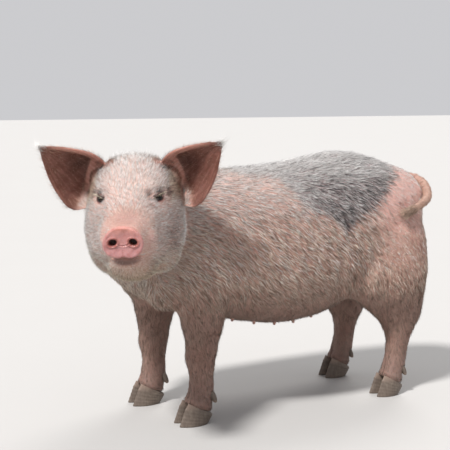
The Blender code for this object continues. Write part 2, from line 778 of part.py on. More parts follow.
def add_tail(nodes):
    """The tail, in two lengths: it leaves the rump, folds over and lies on the left ham."""
    rows = smooth_rows(TAIL_PATH, 17)
    count = len(rows)
    radii = np.linspace(TAIL_ROOT_RADIUS, TAIL_TIP_RADIUS, count)
    radii[-1] *= 0.55
    surface = BVHTree.FromObject(nodes["hindquarters"], bpy.context.evaluated_depsgraph_get())
    points = []
    for i, (row, radius) in enumerate(zip(rows, radii)):
        point = Vector(row)
        place, normal, _, _ = surface.find_nearest(point)
        height = (point - place).dot(normal)
        if i > count // 3 and height < radius + 0.002:
            point += normal * (radius + 0.002 - height)
        points.append(point)
    tail = tube("tail", points, list(radii), sides=10)
    combine(nodes["hindquarters"], [inflated(tail)], "DIFFERENCE")
    nodes["hindquarters"] = largest_only(nodes["hindquarters"])
    middle = count // 2
    way = points[middle + 1] - points[middle - 1]
    combine(tail, [knife(points[middle], way, (0.05, 0.05))], "DIFFERENCE")
    ends = islands(tail)
    ends.sort(key=lambda piece: min(v.co.z for v in piece.data.vertices), reverse=True)
    for name, piece in zip(("tail_root", "tail_tip"), ends):
        piece.name = name
        nodes[name] = piece


def material_for(name):
    kind = "skin"
    if "claw" in name:
        kind = "horn"
    elif name.startswith("eye"):
        kind = "eye"
    elif name == "snout":
        kind = "disc"
    if kind not in bpy.data.materials:
        material = bpy.data.materials.new(kind)
        material.use_nodes = True
        colour, roughness = COLOURS[kind]
        shader = material.node_tree.nodes["Principled BSDF"]
        shader.inputs["Base Color"].default_value = (*colour, 1)
        shader.inputs["Roughness"].default_value = roughness
        shader.inputs["Metallic"].default_value = 0
    return bpy.data.materials[kind]


def settle(nodes):
    """Names and shades the nodes, and stands them about the origin under one parent."""
    corners = []
    for name, node in nodes.items():
        node.name = name
        node.data.name = name
        node.data.materials.clear()
        node.data.materials.append(material_for(name))
        node.data.shade_smooth()
        node.data.set_sharp_from_angle(angle=math.radians(50))
        corners += [vertex.co.copy() for vertex in node.data.vertices]
    low = [min(c[i] for c in corners) for i in range(3)]
    high = [max(c[i] for c in corners) for i in range(3)]
    pig = bpy.data.objects.new("pig", None)
    bpy.context.scene.collection.objects.link(pig)
    pig.location = (-(low[0] + high[0]) / 2, -(low[1] + high[1]) / 2, -low[2])
    for node in nodes.values():
        node.parent = pig
    return pig


def main():
    clear_scene()
    nodes = part_nodes(fused_flesh())
    finish_head(nodes)
    add_feet(nodes)
    add_tail(nodes)
    pig = settle(nodes)
    print(len(nodes), "nodes, shift", tuple(round(v, 4) for v in pig.location))
    for name, node in nodes.items():
        print(name, sum(len(face.vertices) - 2 for face in node.data.polygons))


main()
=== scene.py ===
"""A young domestic pig, life size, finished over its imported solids.

It faces -Y, its left is +X and it stands on z = 0. Sizes are in metres.
"""

import math

import bmesh
import bpy
import numpy as np
from mathutils import Matrix, Vector
from mathutils.bvhtree import BVHTree


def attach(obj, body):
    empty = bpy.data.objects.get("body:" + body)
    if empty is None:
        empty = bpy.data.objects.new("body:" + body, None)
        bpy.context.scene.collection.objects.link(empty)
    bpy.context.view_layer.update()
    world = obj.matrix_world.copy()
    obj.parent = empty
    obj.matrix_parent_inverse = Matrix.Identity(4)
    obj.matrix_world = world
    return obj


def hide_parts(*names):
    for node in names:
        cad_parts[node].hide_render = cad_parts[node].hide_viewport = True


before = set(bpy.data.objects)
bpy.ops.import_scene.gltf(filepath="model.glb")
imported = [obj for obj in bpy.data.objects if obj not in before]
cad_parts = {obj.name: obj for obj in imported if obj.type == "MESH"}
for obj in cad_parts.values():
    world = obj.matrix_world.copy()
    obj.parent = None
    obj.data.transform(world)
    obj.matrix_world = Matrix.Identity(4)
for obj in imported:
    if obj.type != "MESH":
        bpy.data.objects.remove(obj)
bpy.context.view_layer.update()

# Ears. Large upright leaves of gristle between two layers of thin skin. Each is rolled
# into a cup that opens forwards, with a thick upper edge and a curled lobe at the cheek.
SNOUT_CENTRE = np.array((0.1888, -0.3201, 0.3450))
HEAD_TURN = (63.2, 6.5, -1.6)
HEAD_AXES = np.array(
    Matrix.Rotation(math.radians(HEAD_TURN[0]), 3, "Z")
    @ Matrix.Rotation(math.radians(HEAD_TURN[1]), 3, "X")
    @ Matrix.Rotation(math.radians(HEAD_TURN[2]), 3, "Y")
)
SIDES = {"left": 1, "right": -1}
EAR_ROOT = np.array((0.058, 0.190, 0.050))
EAR_TIP = np.array((0.139, 0.160, 0.113))
EAR_ACROSS = np.array((-0.61, 0.10, 0.79))
EAR_UPPER = ((-0.20, 0.024), (0.04, 0.034), (0.28, 0.0385), (0.58, 0.029), (0.85, 0.0135), (1.0, 0.0022))
EAR_LOWER = (
    (-0.20, 0.024),
    (-0.08, 0.040),
    (0.03, 0.0545),
    (0.16, 0.0590),
    (0.36, 0.0535),
    (0.68, 0.0335),
    (0.88, 0.0150),
    (1.0, 0.0022),
)
EAR_CUP = ((-0.20, 0.030), (0.05, 0.026), (0.35, 0.015), (0.70, 0.006), (1.0, 0.001))
EAR_THICKNESS = 0.0046
EAR_ROLL = 0.0065
EAR_RIDGE = 0.0007
EAR_HOLLOW = 0.004
EAR_FOLD = (
    (0.104, 0.000),
    (0.086, 0.012),
    (0.062, 0.023),
    (0.034, 0.0335),
    (0.022, 0.031),
    (0.0155, 0.018),
    (0.011, 0.003),
    (0.006, -0.012),
    (0.001, -0.027),
    (-0.002, -0.042),
)
EAR_FOLD_HEIGHT = (
    (0.0, 0.0008), (0.15, 0.0030), (0.42, 0.0050), (0.58, 0.0066), (0.74, 0.0048), (0.88, 0.0026),
    (1.0, 0.0010)
)
EAR_FOLD_SIZE = (
    (0.0, 0.0028), (0.25, 0.0052), (0.5, 0.0066), (0.64, 0.0082), (0.82, 0.0076), (1.0, 0.0050)
)


def unit(vectors):
    """Vectors scaled to length 1."""
    vectors = np.asarray(vectors, float)
    return vectors / np.maximum(np.linalg.norm(vectors, axis=-1, keepdims=True), 1e-12)


def ramp(value, start, end):
    """0 before start and 1 past end, with a smooth S between them."""
    t = np.clip((value - start) / (end - start), 0, 1)
    return t * t * (3 - 2 * t)


def bell(distance, width):
    """1 at distance 0, about a third at one width, next to nothing past two."""
    return np.exp(-((distance / width) ** 2))


def hill(points, middle, radii):
    """A smooth hill, 1 at the middle and about 0 past one and a half radii: exp of minus the
    squared distance."""
    return np.exp(-np.sum(((points - np.array(middle)) / np.array(radii)) ** 2, axis=-1))


def curve(table, t):
    """A table's value at t, on cubic arcs that pass through its points with their mean slope."""
    x, y = np.array(table, float).T
    slope = np.gradient(y, x)
    i = np.clip(np.searchsorted(x, t, side="right") - 1, 0, len(x) - 2)
    span = x[i + 1] - x[i]
    u = np.clip((t - x[i]) / span, 0, 1)
    first = y[i] * (2 * u**3 - 3 * u**2 + 1) + slope[i] * span * (u**3 - 2 * u**2 + u)
    return first + y[i + 1] * (3 * u**2 - 2 * u**3) + slope[i + 1] * span * (u**3 - u**2)


def to_head(points):
    """Points in the head's own frame: x to its left, y back from the disc, z up."""
    return (points - SNOUT_CENTRE) @ HEAD_AXES


def mirrored(points, middle=0.0):
    """Points with their right side turned over onto the left one, about a middle place across."""
    return np.stack([np.abs(points[:, 0] - middle), points[:, 1], points[:, 2]], 1)


def from_head(points):
    """Points of the head's own frame in the part's frame."""
    return points @ HEAD_AXES.T + SNOUT_CENTRE


def surface(name, points, faces):
    """An object from an array of points and one of faces, each a triangle or each a quad."""
    mesh = bpy.data.meshes.new(name)
    sides = faces.shape[1]
    mesh.vertices.add(len(points))
    mesh.vertices.foreach_set("co", np.ascontiguousarray(points, np.float32).ravel())
    mesh.loops.add(faces.size)
    mesh.loops.foreach_set("vertex_index", np.ascontiguousarray(faces, np.int32).ravel())
    mesh.polygons.add(len(faces))
    mesh.polygons.foreach_set("loop_start", np.arange(0, faces.size, sides, dtype=np.int32))
    mesh.update(calc_edges=True)
    mesh.shade_smooth()
    piece = bpy.data.objects.new(name, mesh)
    bpy.context.scene.collection.objects.link(piece)
    return piece


def loft(name, rings, looped=False):
    """A closed skin through rings of points, an array (rings, points, 3). Its ends are fanned to
    their middles, or its last ring meets its first. Faces are turned outwards by the sign of the
    volume."""
    count, sides = rings.shape[:2]
    points = rings.reshape(-1, 3)
    i = np.arange(count if looped else count - 1)[:, None] * sides
    j = np.arange(sides)[None]
    k = (j + 1) % sides
    above = (i + sides) % (count * sides)
    faces = [np.stack([i + j, i + k, above + k], -1), np.stack([i + j, above + k, above + j], -1)]
    faces = [part.reshape(-1, 3) for part in faces]
    if not looped:
        points = np.concatenate([points, rings[0].mean(0)[None], rings[-1].mean(0)[None]])
        middle = np.full_like(j, count * sides)
        last = (count - 1) * sides
        faces.append(np.stack([j, middle, k], -1).reshape(-1, 3))
        faces.append(np.stack([last + j, last + k, middle + 1], -1).reshape(-1, 3))
    faces = np.concatenate(faces)
    corners = points[faces] - points.mean(0)
    if np.einsum("ij,ij->i", corners[:, 0], np.cross(corners[:, 1], corners[:, 2])).sum() < 0:
        faces = faces[:, ::-1]
    return surface(name, points, faces)


def near_path(points, path):
    """The distance of each point from a path of straight steps, and how far along it that nearest
    place is, 0 to 1."""
    path = np.array(path, float)
    steps = np.diff(path, axis=0)
    lengths = np.linalg.norm(steps, axis=1)
    best, along = np.full(len(points), 9.0), np.zeros(len(points))
    for start, step, length, before in zip(path, steps, lengths, np.cumsum(lengths) - lengths):
        u = np.clip((points - start) @ step / length**2, 0, 1)
        away = np.linalg.norm(points - start - u[:, None] * step, axis=1)
        closer = away < best
        best = np.where(closer, away, best)
        along = np.where(closer, (before + u * length) / lengths.sum(), along)
    return best, along


def ear_axes():
    """The ear's axes in the head's frame: from root to tip, across to the upper edge, and behind."""
    ahead = unit(EAR_TIP - EAR_ROOT)
    across = unit(EAR_ACROSS - ahead * (EAR_ACROSS @ ahead))
    return ahead, across, np.cross(across, ahead)


def ear_fold(t, w):
    """How far the thick rolled edge stands out of the cup: a swelling about a path that follows the
    upper edge from the tip and turns down beside the head to the lobe."""
    half = np.where(w > 0, curve(EAR_UPPER, t), curve(EAR_LOWER, t))
    flat = np.stack([t * np.linalg.norm(EAR_TIP - EAR_ROOT), w * half], -1)
    away, along = (part.reshape(t.shape) for part in near_path(flat.reshape(-1, 2), EAR_FOLD))
    height, size = curve(EAR_FOLD_HEIGHT, along), curve(EAR_FOLD_SIZE, along)
    return height * bell(away, size)


def ear_middle(t, w):
    """How far behind the leaf's plane its middle lies: bowed back by the cup's depth, its edges
    rolled forwards, and hollowed inside the cup."""
    bow = curve(EAR_CUP, t) * (1 - np.clip(np.abs(w), 0, 1) ** 2.4)
    rolled = ramp(w, 0.55, 1.0) * ramp(t, 1.0, 0.35) + 1.6 * ramp(-w, 0.7, 1.0) * ramp(t, 0.65, 0.2)
    return bow - EAR_ROLL * rolled + EAR_HOLLOW * hill(np.stack([t, w], -1), (0.36, 0.15), (0.20, 0.55))


def ear_shape(sign, t, w, layer):
    """Places on an ear: t runs from root to tip, w across from lobe to upper edge, and layer from
    -1 on the cup's face to 1 on the back. The section bows back by the cup's depth, and its edges
    roll forwards."""
    _, across, behind = ear_axes()
    half = np.where(w > 0, curve(EAR_UPPER, t), curve(EAR_LOWER, t))
    cup = curve(EAR_CUP, t)
    slope = -2.4 * cup * np.abs(w) ** 1.4 * np.sign(w) / half
    ridges = (
        EAR_RIDGE * np.cos(w * 11 - 1.0 * t) * ramp(np.abs(w), 0.95, 0.5) * ramp(t, 0.0, 0.2)
        * ramp(t, 0.9, 0.6)
    )
    thick = EAR_THICKNESS / 2 * (1 - 0.45 * np.maximum(0, t)) * (1 + 0.35 * ramp(np.abs(w), 0.7, 0.95))
    lean = unit(np.stack([-slope, np.ones_like(slope)], -1)) * (thick * layer)[..., None]
    side = half * w * (1 - 0.05 * ramp(np.abs(w), 0.6, 1.0)) + lean[..., 0]
    back = ear_middle(t, w) + (ridges - ear_fold(t, w)) * (1 - layer) / 2 + lean[..., 1]
    place = (
        EAR_ROOT + (EAR_TIP - EAR_ROOT) * t[..., None] + across * side[..., None]
        + behind * back[..., None]
    )
    return from_head(place * (sign, 1, 1))


def turns(count):
    """Even angles round a circle."""
    return np.linspace(0, 2 * math.pi, count, endpoint=False)


def ear_solid(side):
    """A closed leaf: round the section w is a cosine and the layer the root of a sine, so the edges
    are round."""
    t, angle = np.meshgrid(np.linspace(-0.20, 1.0, 72), turns(112), indexing="ij")
    layer = np.sign(np.sin(angle)) * np.abs(np.sin(angle)) ** 0.4
    return loft("ear_" + side, ear_shape(SIDES[side], t, np.cos(angle), layer))


ears = [ear_solid(side) for side in SIDES]

# Skin. One hide over the whole body, from the muzzle to the root of the tail: thick and
# folded at the neck, elbow and flank, thin on the belly, and creased above the snout.
FLESH = ["head", "neck", "shoulders", "barrel", "hindquarters"]
LEG_PARTS = ("foreleg_upper", "foreleg_lower", "hind_leg_upper", "hind_leg_lower")
FLESH += [f"{part}_{side}" for part in LEG_PARTS for side in SIDES]
BODY_X = -0.0732
VOXEL = 0.0016
WELD_DISTANCE = 2e-5
TAIL_STUB = 26
BODY_FACES = 50000
SMOOTH_STEPS = 110
SMOOTH_FACTOR = 0.5
MOUTH = ((0.010, -0.0235), (0.030, -0.0262), (0.055, -0.0300), (0.078, -0.0300), (0.094, -0.0235))
EYE_RADIUS = 0.0100
EYE_CENTRE = np.array((0.0392, 0.1165, 0.0400))
EYE_GAZE = (0.72, -0.68, 0.12)
EYE_SLANT = math.radians(12)
LEG_Y = {
    ("fore", "left"): -0.1121,
    ("fore", "right"): -0.1411,
    ("hind", "left"): 0.2839,
    ("hind", "right"): 0.2639,
}
LEG_X = {"fore": 0.071, "hind": 0.074}


def ball(centre, radius, sides=24):
    """Rings of a globe about a centre: each ring is a circle of radius sine and height cosine."""
    down, turn = np.meshgrid(np.linspace(0.03, math.pi - 0.03, sides // 2), turns(sides), indexing="ij")
    return (
        centre
        + radius * np.stack([np.sin(down) * np.cos(turn), np.sin(down) * np.sin(turn), np.cos(down)], -1)
    )


def mouth_plug():
    """A block inside the jaws that closes the inner part of the cut mouth: box sections along it."""
    back = np.linspace(0.022, 0.098, 20)
    height = curve(MOUTH, back)
    half = np.interp(back, (0.022, 0.035, 0.055, 0.098), (0.010, 0.020, 0.028, 0.050))
    corner = np.array([(-1, -1), (1, -1), (1, 1), (-1, 1)])
    rings = np.empty((len(back), 4, 3))
    rings[..., 0] = half[:, None] * corner[:, 0]
    rings[..., 1] = back[:, None]
    rings[..., 2] = height[:, None] + 0.003 * corner[:, 1]
    return loft("plug", from_head(rings))


def baked(piece):
    """Puts what the piece's modifiers make into its mesh."""
    graph = bpy.context.evaluated_depsgraph_get()
    graph.update()
    made = bpy.data.meshes.new_from_object(piece.evaluated_get(graph))
    piece.modifiers.clear()
    piece.data = made
    return piece


def places(piece):
    """The piece's points and their normals as arrays."""
    count = len(piece.data.vertices)
    points, normals = np.empty(count * 3, np.float32), np.empty(count * 3, np.float32)
    piece.data.vertices.foreach_get("co", points)
    piece.data.vertex_normals.foreach_get("vector", normals)
    return points.reshape(-1, 3).astype(float), normals.reshape(-1, 3).astype(float)


def weigh(piece, name, weights):
    """A vertex group with the weights rounded to sixteenths."""
    group = piece.vertex_groups.new(name=name)
    steps = np.round(weights * 16).astype(int)
    for step in range(1, 17):
        group.add(np.flatnonzero(steps == step).tolist(), step / 16, "REPLACE")
    return name


def ripple(points, size, seed, waves=9):
    """Smooth noise of about -1 to 1: a sum of sine waves of random direction, with crests about
    size apart."""
    draw = np.random.default_rng(seed)
    ways = unit(draw.normal(size=(waves, 3))) * draw.uniform(0.7, 1.5, (waves, 1)) * 2 * math.pi / size
    waves_at = np.sin(points @ ways.T + draw.uniform(0, 2 * math.pi, waves))
    return waves_at.sum(1) * math.sqrt(2 / waves) * 0.7


TAIL_PATH = (
    (-0.0732, 0.3090, 0.384),
    (-0.0722, 0.3350, 0.394),
    (-0.0632, 0.3580, 0.396),
    (-0.0432, 0.3715, 0.386),
    (-0.0212, 0.3640, 0.370),
    (0.0008, 0.3400, 0.357),
    (0.0168, 0.3110, 0.348),
    (0.0298, 0.2810, 0.340),
)
TAIL_RADII = ((0.0, 0.0135), (1.0, 0.0060))


def tail_line(count=90):
    """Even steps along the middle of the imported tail: a cubic through the path's points, then each
    moved to the mean of the solid's points beside it."""
    path = np.array(TAIL_PATH)
    at = np.concatenate([[0], np.cumsum(np.linalg.norm(np.diff(path, axis=0), axis=1))])
    share = np.linspace(0, 1, count)
    line = np.stack([curve(np.stack([at / at[-1], path[:, k]], 1), share) for k in range(3)], 1)
    solid = np.concatenate([places(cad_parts[name])[0] for name in ("tail_root", "tail_tip")])
    ahead = unit(np.gradient(line, axis=0))
    for k in range(count):
        reach = solid - line[k]
        near = bell(reach @ ahead[k], 0.004) * (np.linalg.norm(reach, axis=1) < 0.020)
        line[k] = (line[k] * 0.02 + near @ solid) / (0.02 + near.sum())
    kernel = np.ones(9) / 9
    padded = np.pad(line, ((4, 4), (0, 0)), mode="edge")
    return np.stack([np.convolve(padded[:, k], kernel, mode="valid") for k in range(3)], 1)


def tube(line, radii, sides, squash=1.0):
    """Rings along a line. Each is a circle, or an oval, across the line, on two axes carried along
    without twisting."""
    ahead = unit(np.gradient(line, axis=0))
    first = unit(np.cross(ahead[0], (0.3, 0.2, 1.0)))
    axes = [first]
    for way in ahead[1:]:
        axes.append(unit(axes[-1] - way * (axes[-1] @ way)))
    first = np.array(axes)
    second = np.cross(ahead, first)
    angle = turns(sides)
    out = first[:, None] * np.cos(angle)[:, None] + squash * second[:, None] * np.sin(angle)[:, None]
    radii = np.asarray(radii, float)
    return line[:, None] + out * (radii[:, None, None] if radii.ndim == 1 else radii[..., None])


TAIL_LINE = tail_line()


def joined_flesh():
    """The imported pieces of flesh, the ears and the plugs as one mesh, each piece's loose triangles
    welded."""
    mesh = bmesh.new()
    for name in FLESH:
        mesh.from_mesh(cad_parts[name].data)
    bmesh.ops.remove_doubles(mesh, verts=mesh.verts, dist=WELD_DISTANCE)
    stub = TAIL_LINE[:TAIL_STUB]
    plugs = [mouth_plug(), loft("plug", tube(stub, np.linspace(0.0146, 0.0105, len(stub)), 24))] + ears
    for sign in SIDES.values():
        plugs.append(loft("plug", from_head(ball(EYE_CENTRE * (sign, 1, 1), EYE_RADIUS - 0.0004))))
    for plug in plugs:
        mesh.from_mesh(plug.data)
        bpy.data.objects.remove(plug)
    data = bpy.data.meshes.new("skin")
    mesh.to_mesh(data)
    mesh.free()
    piece = bpy.data.objects.new("skin", data)
    bpy.context.scene.collection.objects.link(piece)
    return piece


def faces_of(piece, sides):
    """The piece's faces as an array of point numbers, where all have the same number of sides."""
    faces = np.empty(len(piece.data.loops), np.int32)
    piece.data.loops.foreach_get("vertex_index", faces)
    return faces.reshape(-1, sides)


def largest_only(piece, sides):
    """The piece without its smaller closed surfaces. Each point takes the lowest number that any
    neighbour has, over and over, until every surface has one number."""
    points, faces = places(piece)[0], faces_of(piece, sides)
    label = np.arange(len(points))
    a, b = faces.ravel(), np.roll(faces, 1, axis=1).ravel()
    while True:
        low = np.minimum(label[a], label[b])
        new = label.copy()
        np.minimum.at(new, a, low)
        np.minimum.at(new, b, low)
        new = new[new]
        if (new == label).all():
            break
        label = new
    kept = label == np.bincount(label).argmax()
    number = np.cumsum(kept) - 1
    name = piece.name
    bpy.data.objects.remove(piece)
    return surface(name, points[kept], number[faces[kept[faces[:, 0]]]])


def ear_place(points):
    """Where places lie on the ears: along from root to tip, across from the lobe to the upper edge,
    how far behind the middle of the leaf, and how much each belongs to the leaf, from 0 to 1."""
    local = to_head(points)
    side = mirrored(local) - EAR_ROOT
    ahead, across, behind = ear_axes()
    t = side @ ahead / np.linalg.norm(EAR_TIP - EAR_ROOT)
    w = side @ across / np.where(side @ across > 0, curve(EAR_UPPER, t), curve(EAR_LOWER, t))
    depth = side @ behind - ear_middle(t, w) + ear_fold(t, w) / 2
    leaf = ramp(t, -0.02, 0.10) * ramp(np.abs(w), 1.5, 1.2) * ramp(np.abs(depth), 0.022, 0.014)
    return t, w, depth, leaf


def cup_share(t, w):
    """1 inside the cup and 0 on its rolled edge and beside the head, where the lobe is bare closer
    to the head."""
    start = 0.02 + 0.08 * ramp(w, -0.5, 0.1)
    return ramp(ear_fold(t, w), 0.0030, 0.0012) * ramp((t - start) / 0.09, 0, 1)


def part_weights(points):
    """How much each place belongs to the head, the ears and the legs, from 0 to 1."""
    local = to_head(points)
    from_middle = np.linalg.norm(local - (0, 0.10, 0), axis=1)
    head = ramp(local[:, 1], 0.235, 0.195) * ramp(from_middle, 0.19, 0.15)
    legs = ramp(points[:, 2], 0.215, 0.165)
    return head, ear_place(points)[3], legs


def head_relief(local):
    """How far the hide stands out on the head: lips beside the line of the mouth, wrinkles over the
    disc and round the eyes, and the soft masses of lips, cheeks and brows. Each is a wave or a hill
    of the distance from a line or point."""
    side = mirrored(local)
    x, y, z = side.T
    on_head = ramp(y, 0.26, 0.20)
    flat = side * (0, 1, 1)
    away, along = near_path(flat, [(0, back, height) for back, height in MOUTH])
    mouth = ramp(along, 1.0, 0.90) * ramp(x, 0.075, 0.060) * ramp(y, 0.112, 0.098)
    below = ramp(z - np.interp(y, *np.array(MOUTH).T), 0.001, -0.001)
    deep = 0.35 + 0.65 * ramp(y, 0.055, 0.030)
    height = (-0.0026 * bell(away, 0.0016) + 0.0011 * bell(away - 0.0042, 0.0024)) * mouth * deep
    height += 0.0012 * below * bell(away - 0.005, 0.004) * mouth * ramp(y, 0.06, 0.03)
    height -= 0.0010 * hill(side, (0.052, 0.096, -0.0230), (0.012, 0.006, 0.006))
    chin, _ = near_path(flat, ((0, 0.022, -0.046), (0, 0.040, -0.050), (0, 0.062, -0.057)))
    height -= 0.0012 * bell(chin, 0.0030)
    bridge = ramp(y, 0.016, 0.022) * ramp(y, 0.066, 0.034) * ramp(z, -0.004, 0.014)
    wander = 0.0016 * ripple(local, 0.030, 8)
    height += 0.00035 * bridge * np.sin(2 * math.pi * (y + 4 * x * x + wander) / 0.0072)
    height += 0.0046 * hill(side, (0.038, 0.050, -0.008), (0.011, 0.015, 0.010))
    height -= 0.0026 * hill(side, (0.045, 0.084, 0.004), (0.012, 0.010, 0.020))
    height += 0.0030 * hill(side, (0.070, 0.160, -0.016), (0.02, 0.034, 0.030))
    height -= 0.0024 * hill(side, (0.062, 0.150, 0.052), (0.014, 0.018, 0.018))
    height -= 0.0060 * hill(side, (0.055, 0.105, -0.068), (0.016, 0.040, 0.014))
    height += 0.0016 * hill(side, (0.026, 0.118, 0.060), (0.012, 0.020, 0.016))
    height -= 0.0012 * hill(side, (0.0, 0.125, 0.066), (0.008, 0.040, 0.020))
    eye = side - EYE_CENTRE
    round_eye = np.linalg.norm(eye - (eye @ unit(EYE_GAZE))[:, None] * unit(EYE_GAZE), axis=1)
    folds = ramp(round_eye, 0.010, 0.014) * ramp(round_eye, 0.027, 0.017) * (z < 0.06)
    height += 0.0004 * folds * np.cos(2 * math.pi * (round_eye + wander) / 0.0046) * ramp(z, 0.046, 0.034)
    pouch, _ = near_path(
        side,
        ((0.024, 0.094, 0.036), (0.034, 0.096, 0.026), (0.046, 0.104, 0.022), (0.056, 0.118, 0.026))
    )
    height -= 0.0012 * bell(pouch, 0.0024)
    height -= 0.0030 * bell(round_eye, 0.0074) * ramp(np.linalg.norm(eye, axis=1), 0.024, 0.016)
    frown = ramp(np.abs(y - 0.135), 0.03, 0.015) * ramp(x, 0.03, 0.015) * ramp(z, 0.04, 0.05)
    height += 0.0004 * frown * np.cos(2 * math.pi * x / 0.009)
    return height * on_head


KNOBS = {
    "fore": (
        ((0, -0.026, 0.112), (0.017, 0.010, 0.013), 0.0022),
        ((0.022, 0.0, 0.112), (0.008, 0.014, 0.012), 0.0012),
        ((0.020, 0.012, 0.082), (0.007, 0.008, 0.018), -0.0018),
        ((0, 0.024, 0.122), (0.012, 0.008, 0.008), 0.0020),
    ),
    "hind": (
        ((0, 0.046, 0.150), (0.010, 0.012, 0.014), 0.0035),
        ((0.022, 0.030, 0.160), (0.008, 0.010, 0.026), -0.0030),
        ((0.022, -0.004, 0.118), (0.008, 0.012, 0.012), 0.0014),
        ((0.019, 0.010, 0.085), (0.007, 0.007, 0.020), -0.0014),
    ),
}


def body_relief(points):
    """How far the hide stands out on trunk and legs: skin folds as furrows with a swelling on each
    side, and the hollows and knobs of the joints as hills, those beside a leg's middle once on each
    side of it."""
    side = mirrored(points, BODY_X)
    height = np.zeros(len(points))
    furrows = (
        (
            ((0.118, 0.112, 0.318), (0.122, 0.132, 0.280), (0.116, 0.139, 0.235), (0.098, 0.128, 0.190)),
            0.0016, 0.011
        ),
        (((0.094, -0.064, 0.262), (0.100, -0.066, 0.232), (0.090, -0.060, 0.200)), 0.0028, 0.009),
        (((0.085, 0.236, 0.190), (0.092, 0.262, 0.215), (0.086, 0.300, 0.230)), 0.0014, 0.010),
        (((0.000, 0.360, 0.345), (0.000, 0.354, 0.315), (0.000, 0.334, 0.262)), 0.0050, 0.010),
    )
    for path, depth, width in furrows:
        away, along = near_path(side, path)
        ends = ramp(along, 0.0, 0.2) * ramp(along, 1.0, 0.8)
        height -= depth * bell(away, width) * ends
        height += 0.25 * depth * bell(away - 2.0 * width, width) * ends
    height += 0.0050 * hill(points, (BODY_X + 0.046, 0.348, 0.368), (0.018, 0.022, 0.020))
    for (foot, hand), middle in LEG_Y.items():
        here = points - (BODY_X + SIDES[hand] * LEG_X[foot], middle, 0)
        u, v, w = here.T
        near = ramp(np.hypot(u, v), 0.085, 0.06)
        for place, radii, amount in KNOBS[foot]:
            for half in (1, -1) if place[0] else (1,):
                height += amount * hill(here, np.array(place) * (half, 1, 1), radii) * near
        cleft = bell(u, 0.0030) * ramp(w, 0.072, 0.045) * near
        height -= 0.0030 * cleft
        coronet = w - 0.031 - 0.40 * -v * ramp(w, 0.06, 0.05)
        height += 0.0011 * bell(coronet, 0.0035) * near * ramp(w, 0.05, 0.045)
    vent = np.linalg.norm((side - (0, 0.360, 0.362)) * (1, 0.6, 1), axis=1)
    height += 0.0030 * bell(vent - 0.007, 0.005) - 0.0030 * bell(vent, 0.003)
    return height


skin = joined_flesh()
remesh = skin.modifiers.new("fuse", "REMESH")
remesh.mode = "VOXEL"
remesh.voxel_size = VOXEL
skin = largest_only(baked(skin), 4)
points, normals = places(skin)
head, ears, legs = part_weights(points)
smooth = skin.modifiers.new("soften", "SMOOTH")
softness = (1 - 0.75 * head - 0.70 * legs * (1 - head)) * (1 - ears) + 0.0625 * ears
smooth.vertex_group = weigh(skin, "soft", softness)
smooth.factor = SMOOTH_FACTOR
smooth.iterations = SMOOTH_STEPS
baked(skin)

# The coat's depth is taken off, then the relief is added along the normals.
COAT_DEPTH = {"body": 0.0022, "head": 0.0010, "ears": 0.0002, "legs": 0.0014}
points, normals = places(skin)
head, ears, legs = part_weights(points)
depth = COAT_DEPTH["body"] + (COAT_DEPTH["legs"] - COAT_DEPTH["body"]) * legs
depth += (COAT_DEPTH["head"] - depth) * head
depth += (COAT_DEPTH["ears"] - depth) * ears
flesh = (1 - ears) * (1 - 0.5 * head)
relief = head_relief(to_head(points)) * (1 - ears) + body_relief(points) * (1 - head)
relief += flesh * (0.00035 * ripple(points, 0.040, 3, 24) + 0.00012 * ripple(points, 0.011, 5, 24))
skin.data.vertices.foreach_set(
    "co", (points + normals * (relief - depth)[:, None]).astype(np.float32).ravel()
)
skin.data.update()

detailed = np.maximum(head, ears) >= 0.5
fine = skin.modifiers.new("fewer_faces", "DECIMATE")
fine.vertex_group = weigh(skin, "body", 1.0 - detailed)
fine.ratio = (BODY_FACES + 2 * detailed.sum()) / (2 * len(points))
baked(skin)
skin.data.shade_smooth()


class Wire:
    """One output socket of a material's nodes. Arithmetic on wires adds Math nodes, and add() adds
    any other node."""

    def __init__(self, tree, socket=None):
        self.tree, self.socket = tree, socket

    def add(self, kind, settings=None, sockets=None, out=0):
        """A node of a type. Its settings are made first, then the values or links of its sockets."""
        node = self.tree.nodes.new("ShaderNode" + kind)
        for key, value in (settings or {}).items():
            if key == "stops":
                stops = node.color_ramp.elements
                while len(stops) < len(value):
                    stops.new(0.5)
                for stop, (place, shade) in zip(stops, value):
                    stop.position, stop.color = place, (*shade, 1)
            else:
                setattr(node, key, value)
        for key, value in (sockets or {}).items():
            if isinstance(value, Wire):
                self.tree.links.new(value.socket, node.inputs[key])
            else:
                node.inputs[key].default_value = value
        return Wire(self.tree, node.outputs[out])

    def maths(self, operation, first, second):
        """A Math node on two wires or numbers."""
        return self.add("Math", {"operation": operation}, {0: first, 1: second})

    def __add__(self, other):
        return self.maths("ADD", self, other)

    def __radd__(self, other):
        return self.maths("ADD", other, self)

    def __sub__(self, other):
        return self.maths("SUBTRACT", self, other)

    def __rsub__(self, other):
        return self.maths("SUBTRACT", other, self)

    def __mul__(self, other):
        return self.maths("MULTIPLY", self, other)

    def __rmul__(self, other):
        return self.maths("MULTIPLY", other, self)


def finish_of(name, constants):
    """A new material with constants on its shader. Returns it, a wire to build from, and a way to
    feed its sockets."""
    material = bpy.data.materials.new(name)
    material.use_nodes = True
    tree = material.node_tree
    shader = tree.nodes["Principled BSDF"]
    for key, value in constants.items():
        shader.inputs[key].default_value = value

    def feed(**wires):
        """Links a wire to each named socket of the shader."""
        for key, wire in wires.items():
            tree.links.new(wire.socket, shader.inputs[key.replace("_", " ").title()])

    return material, Wire(tree), feed


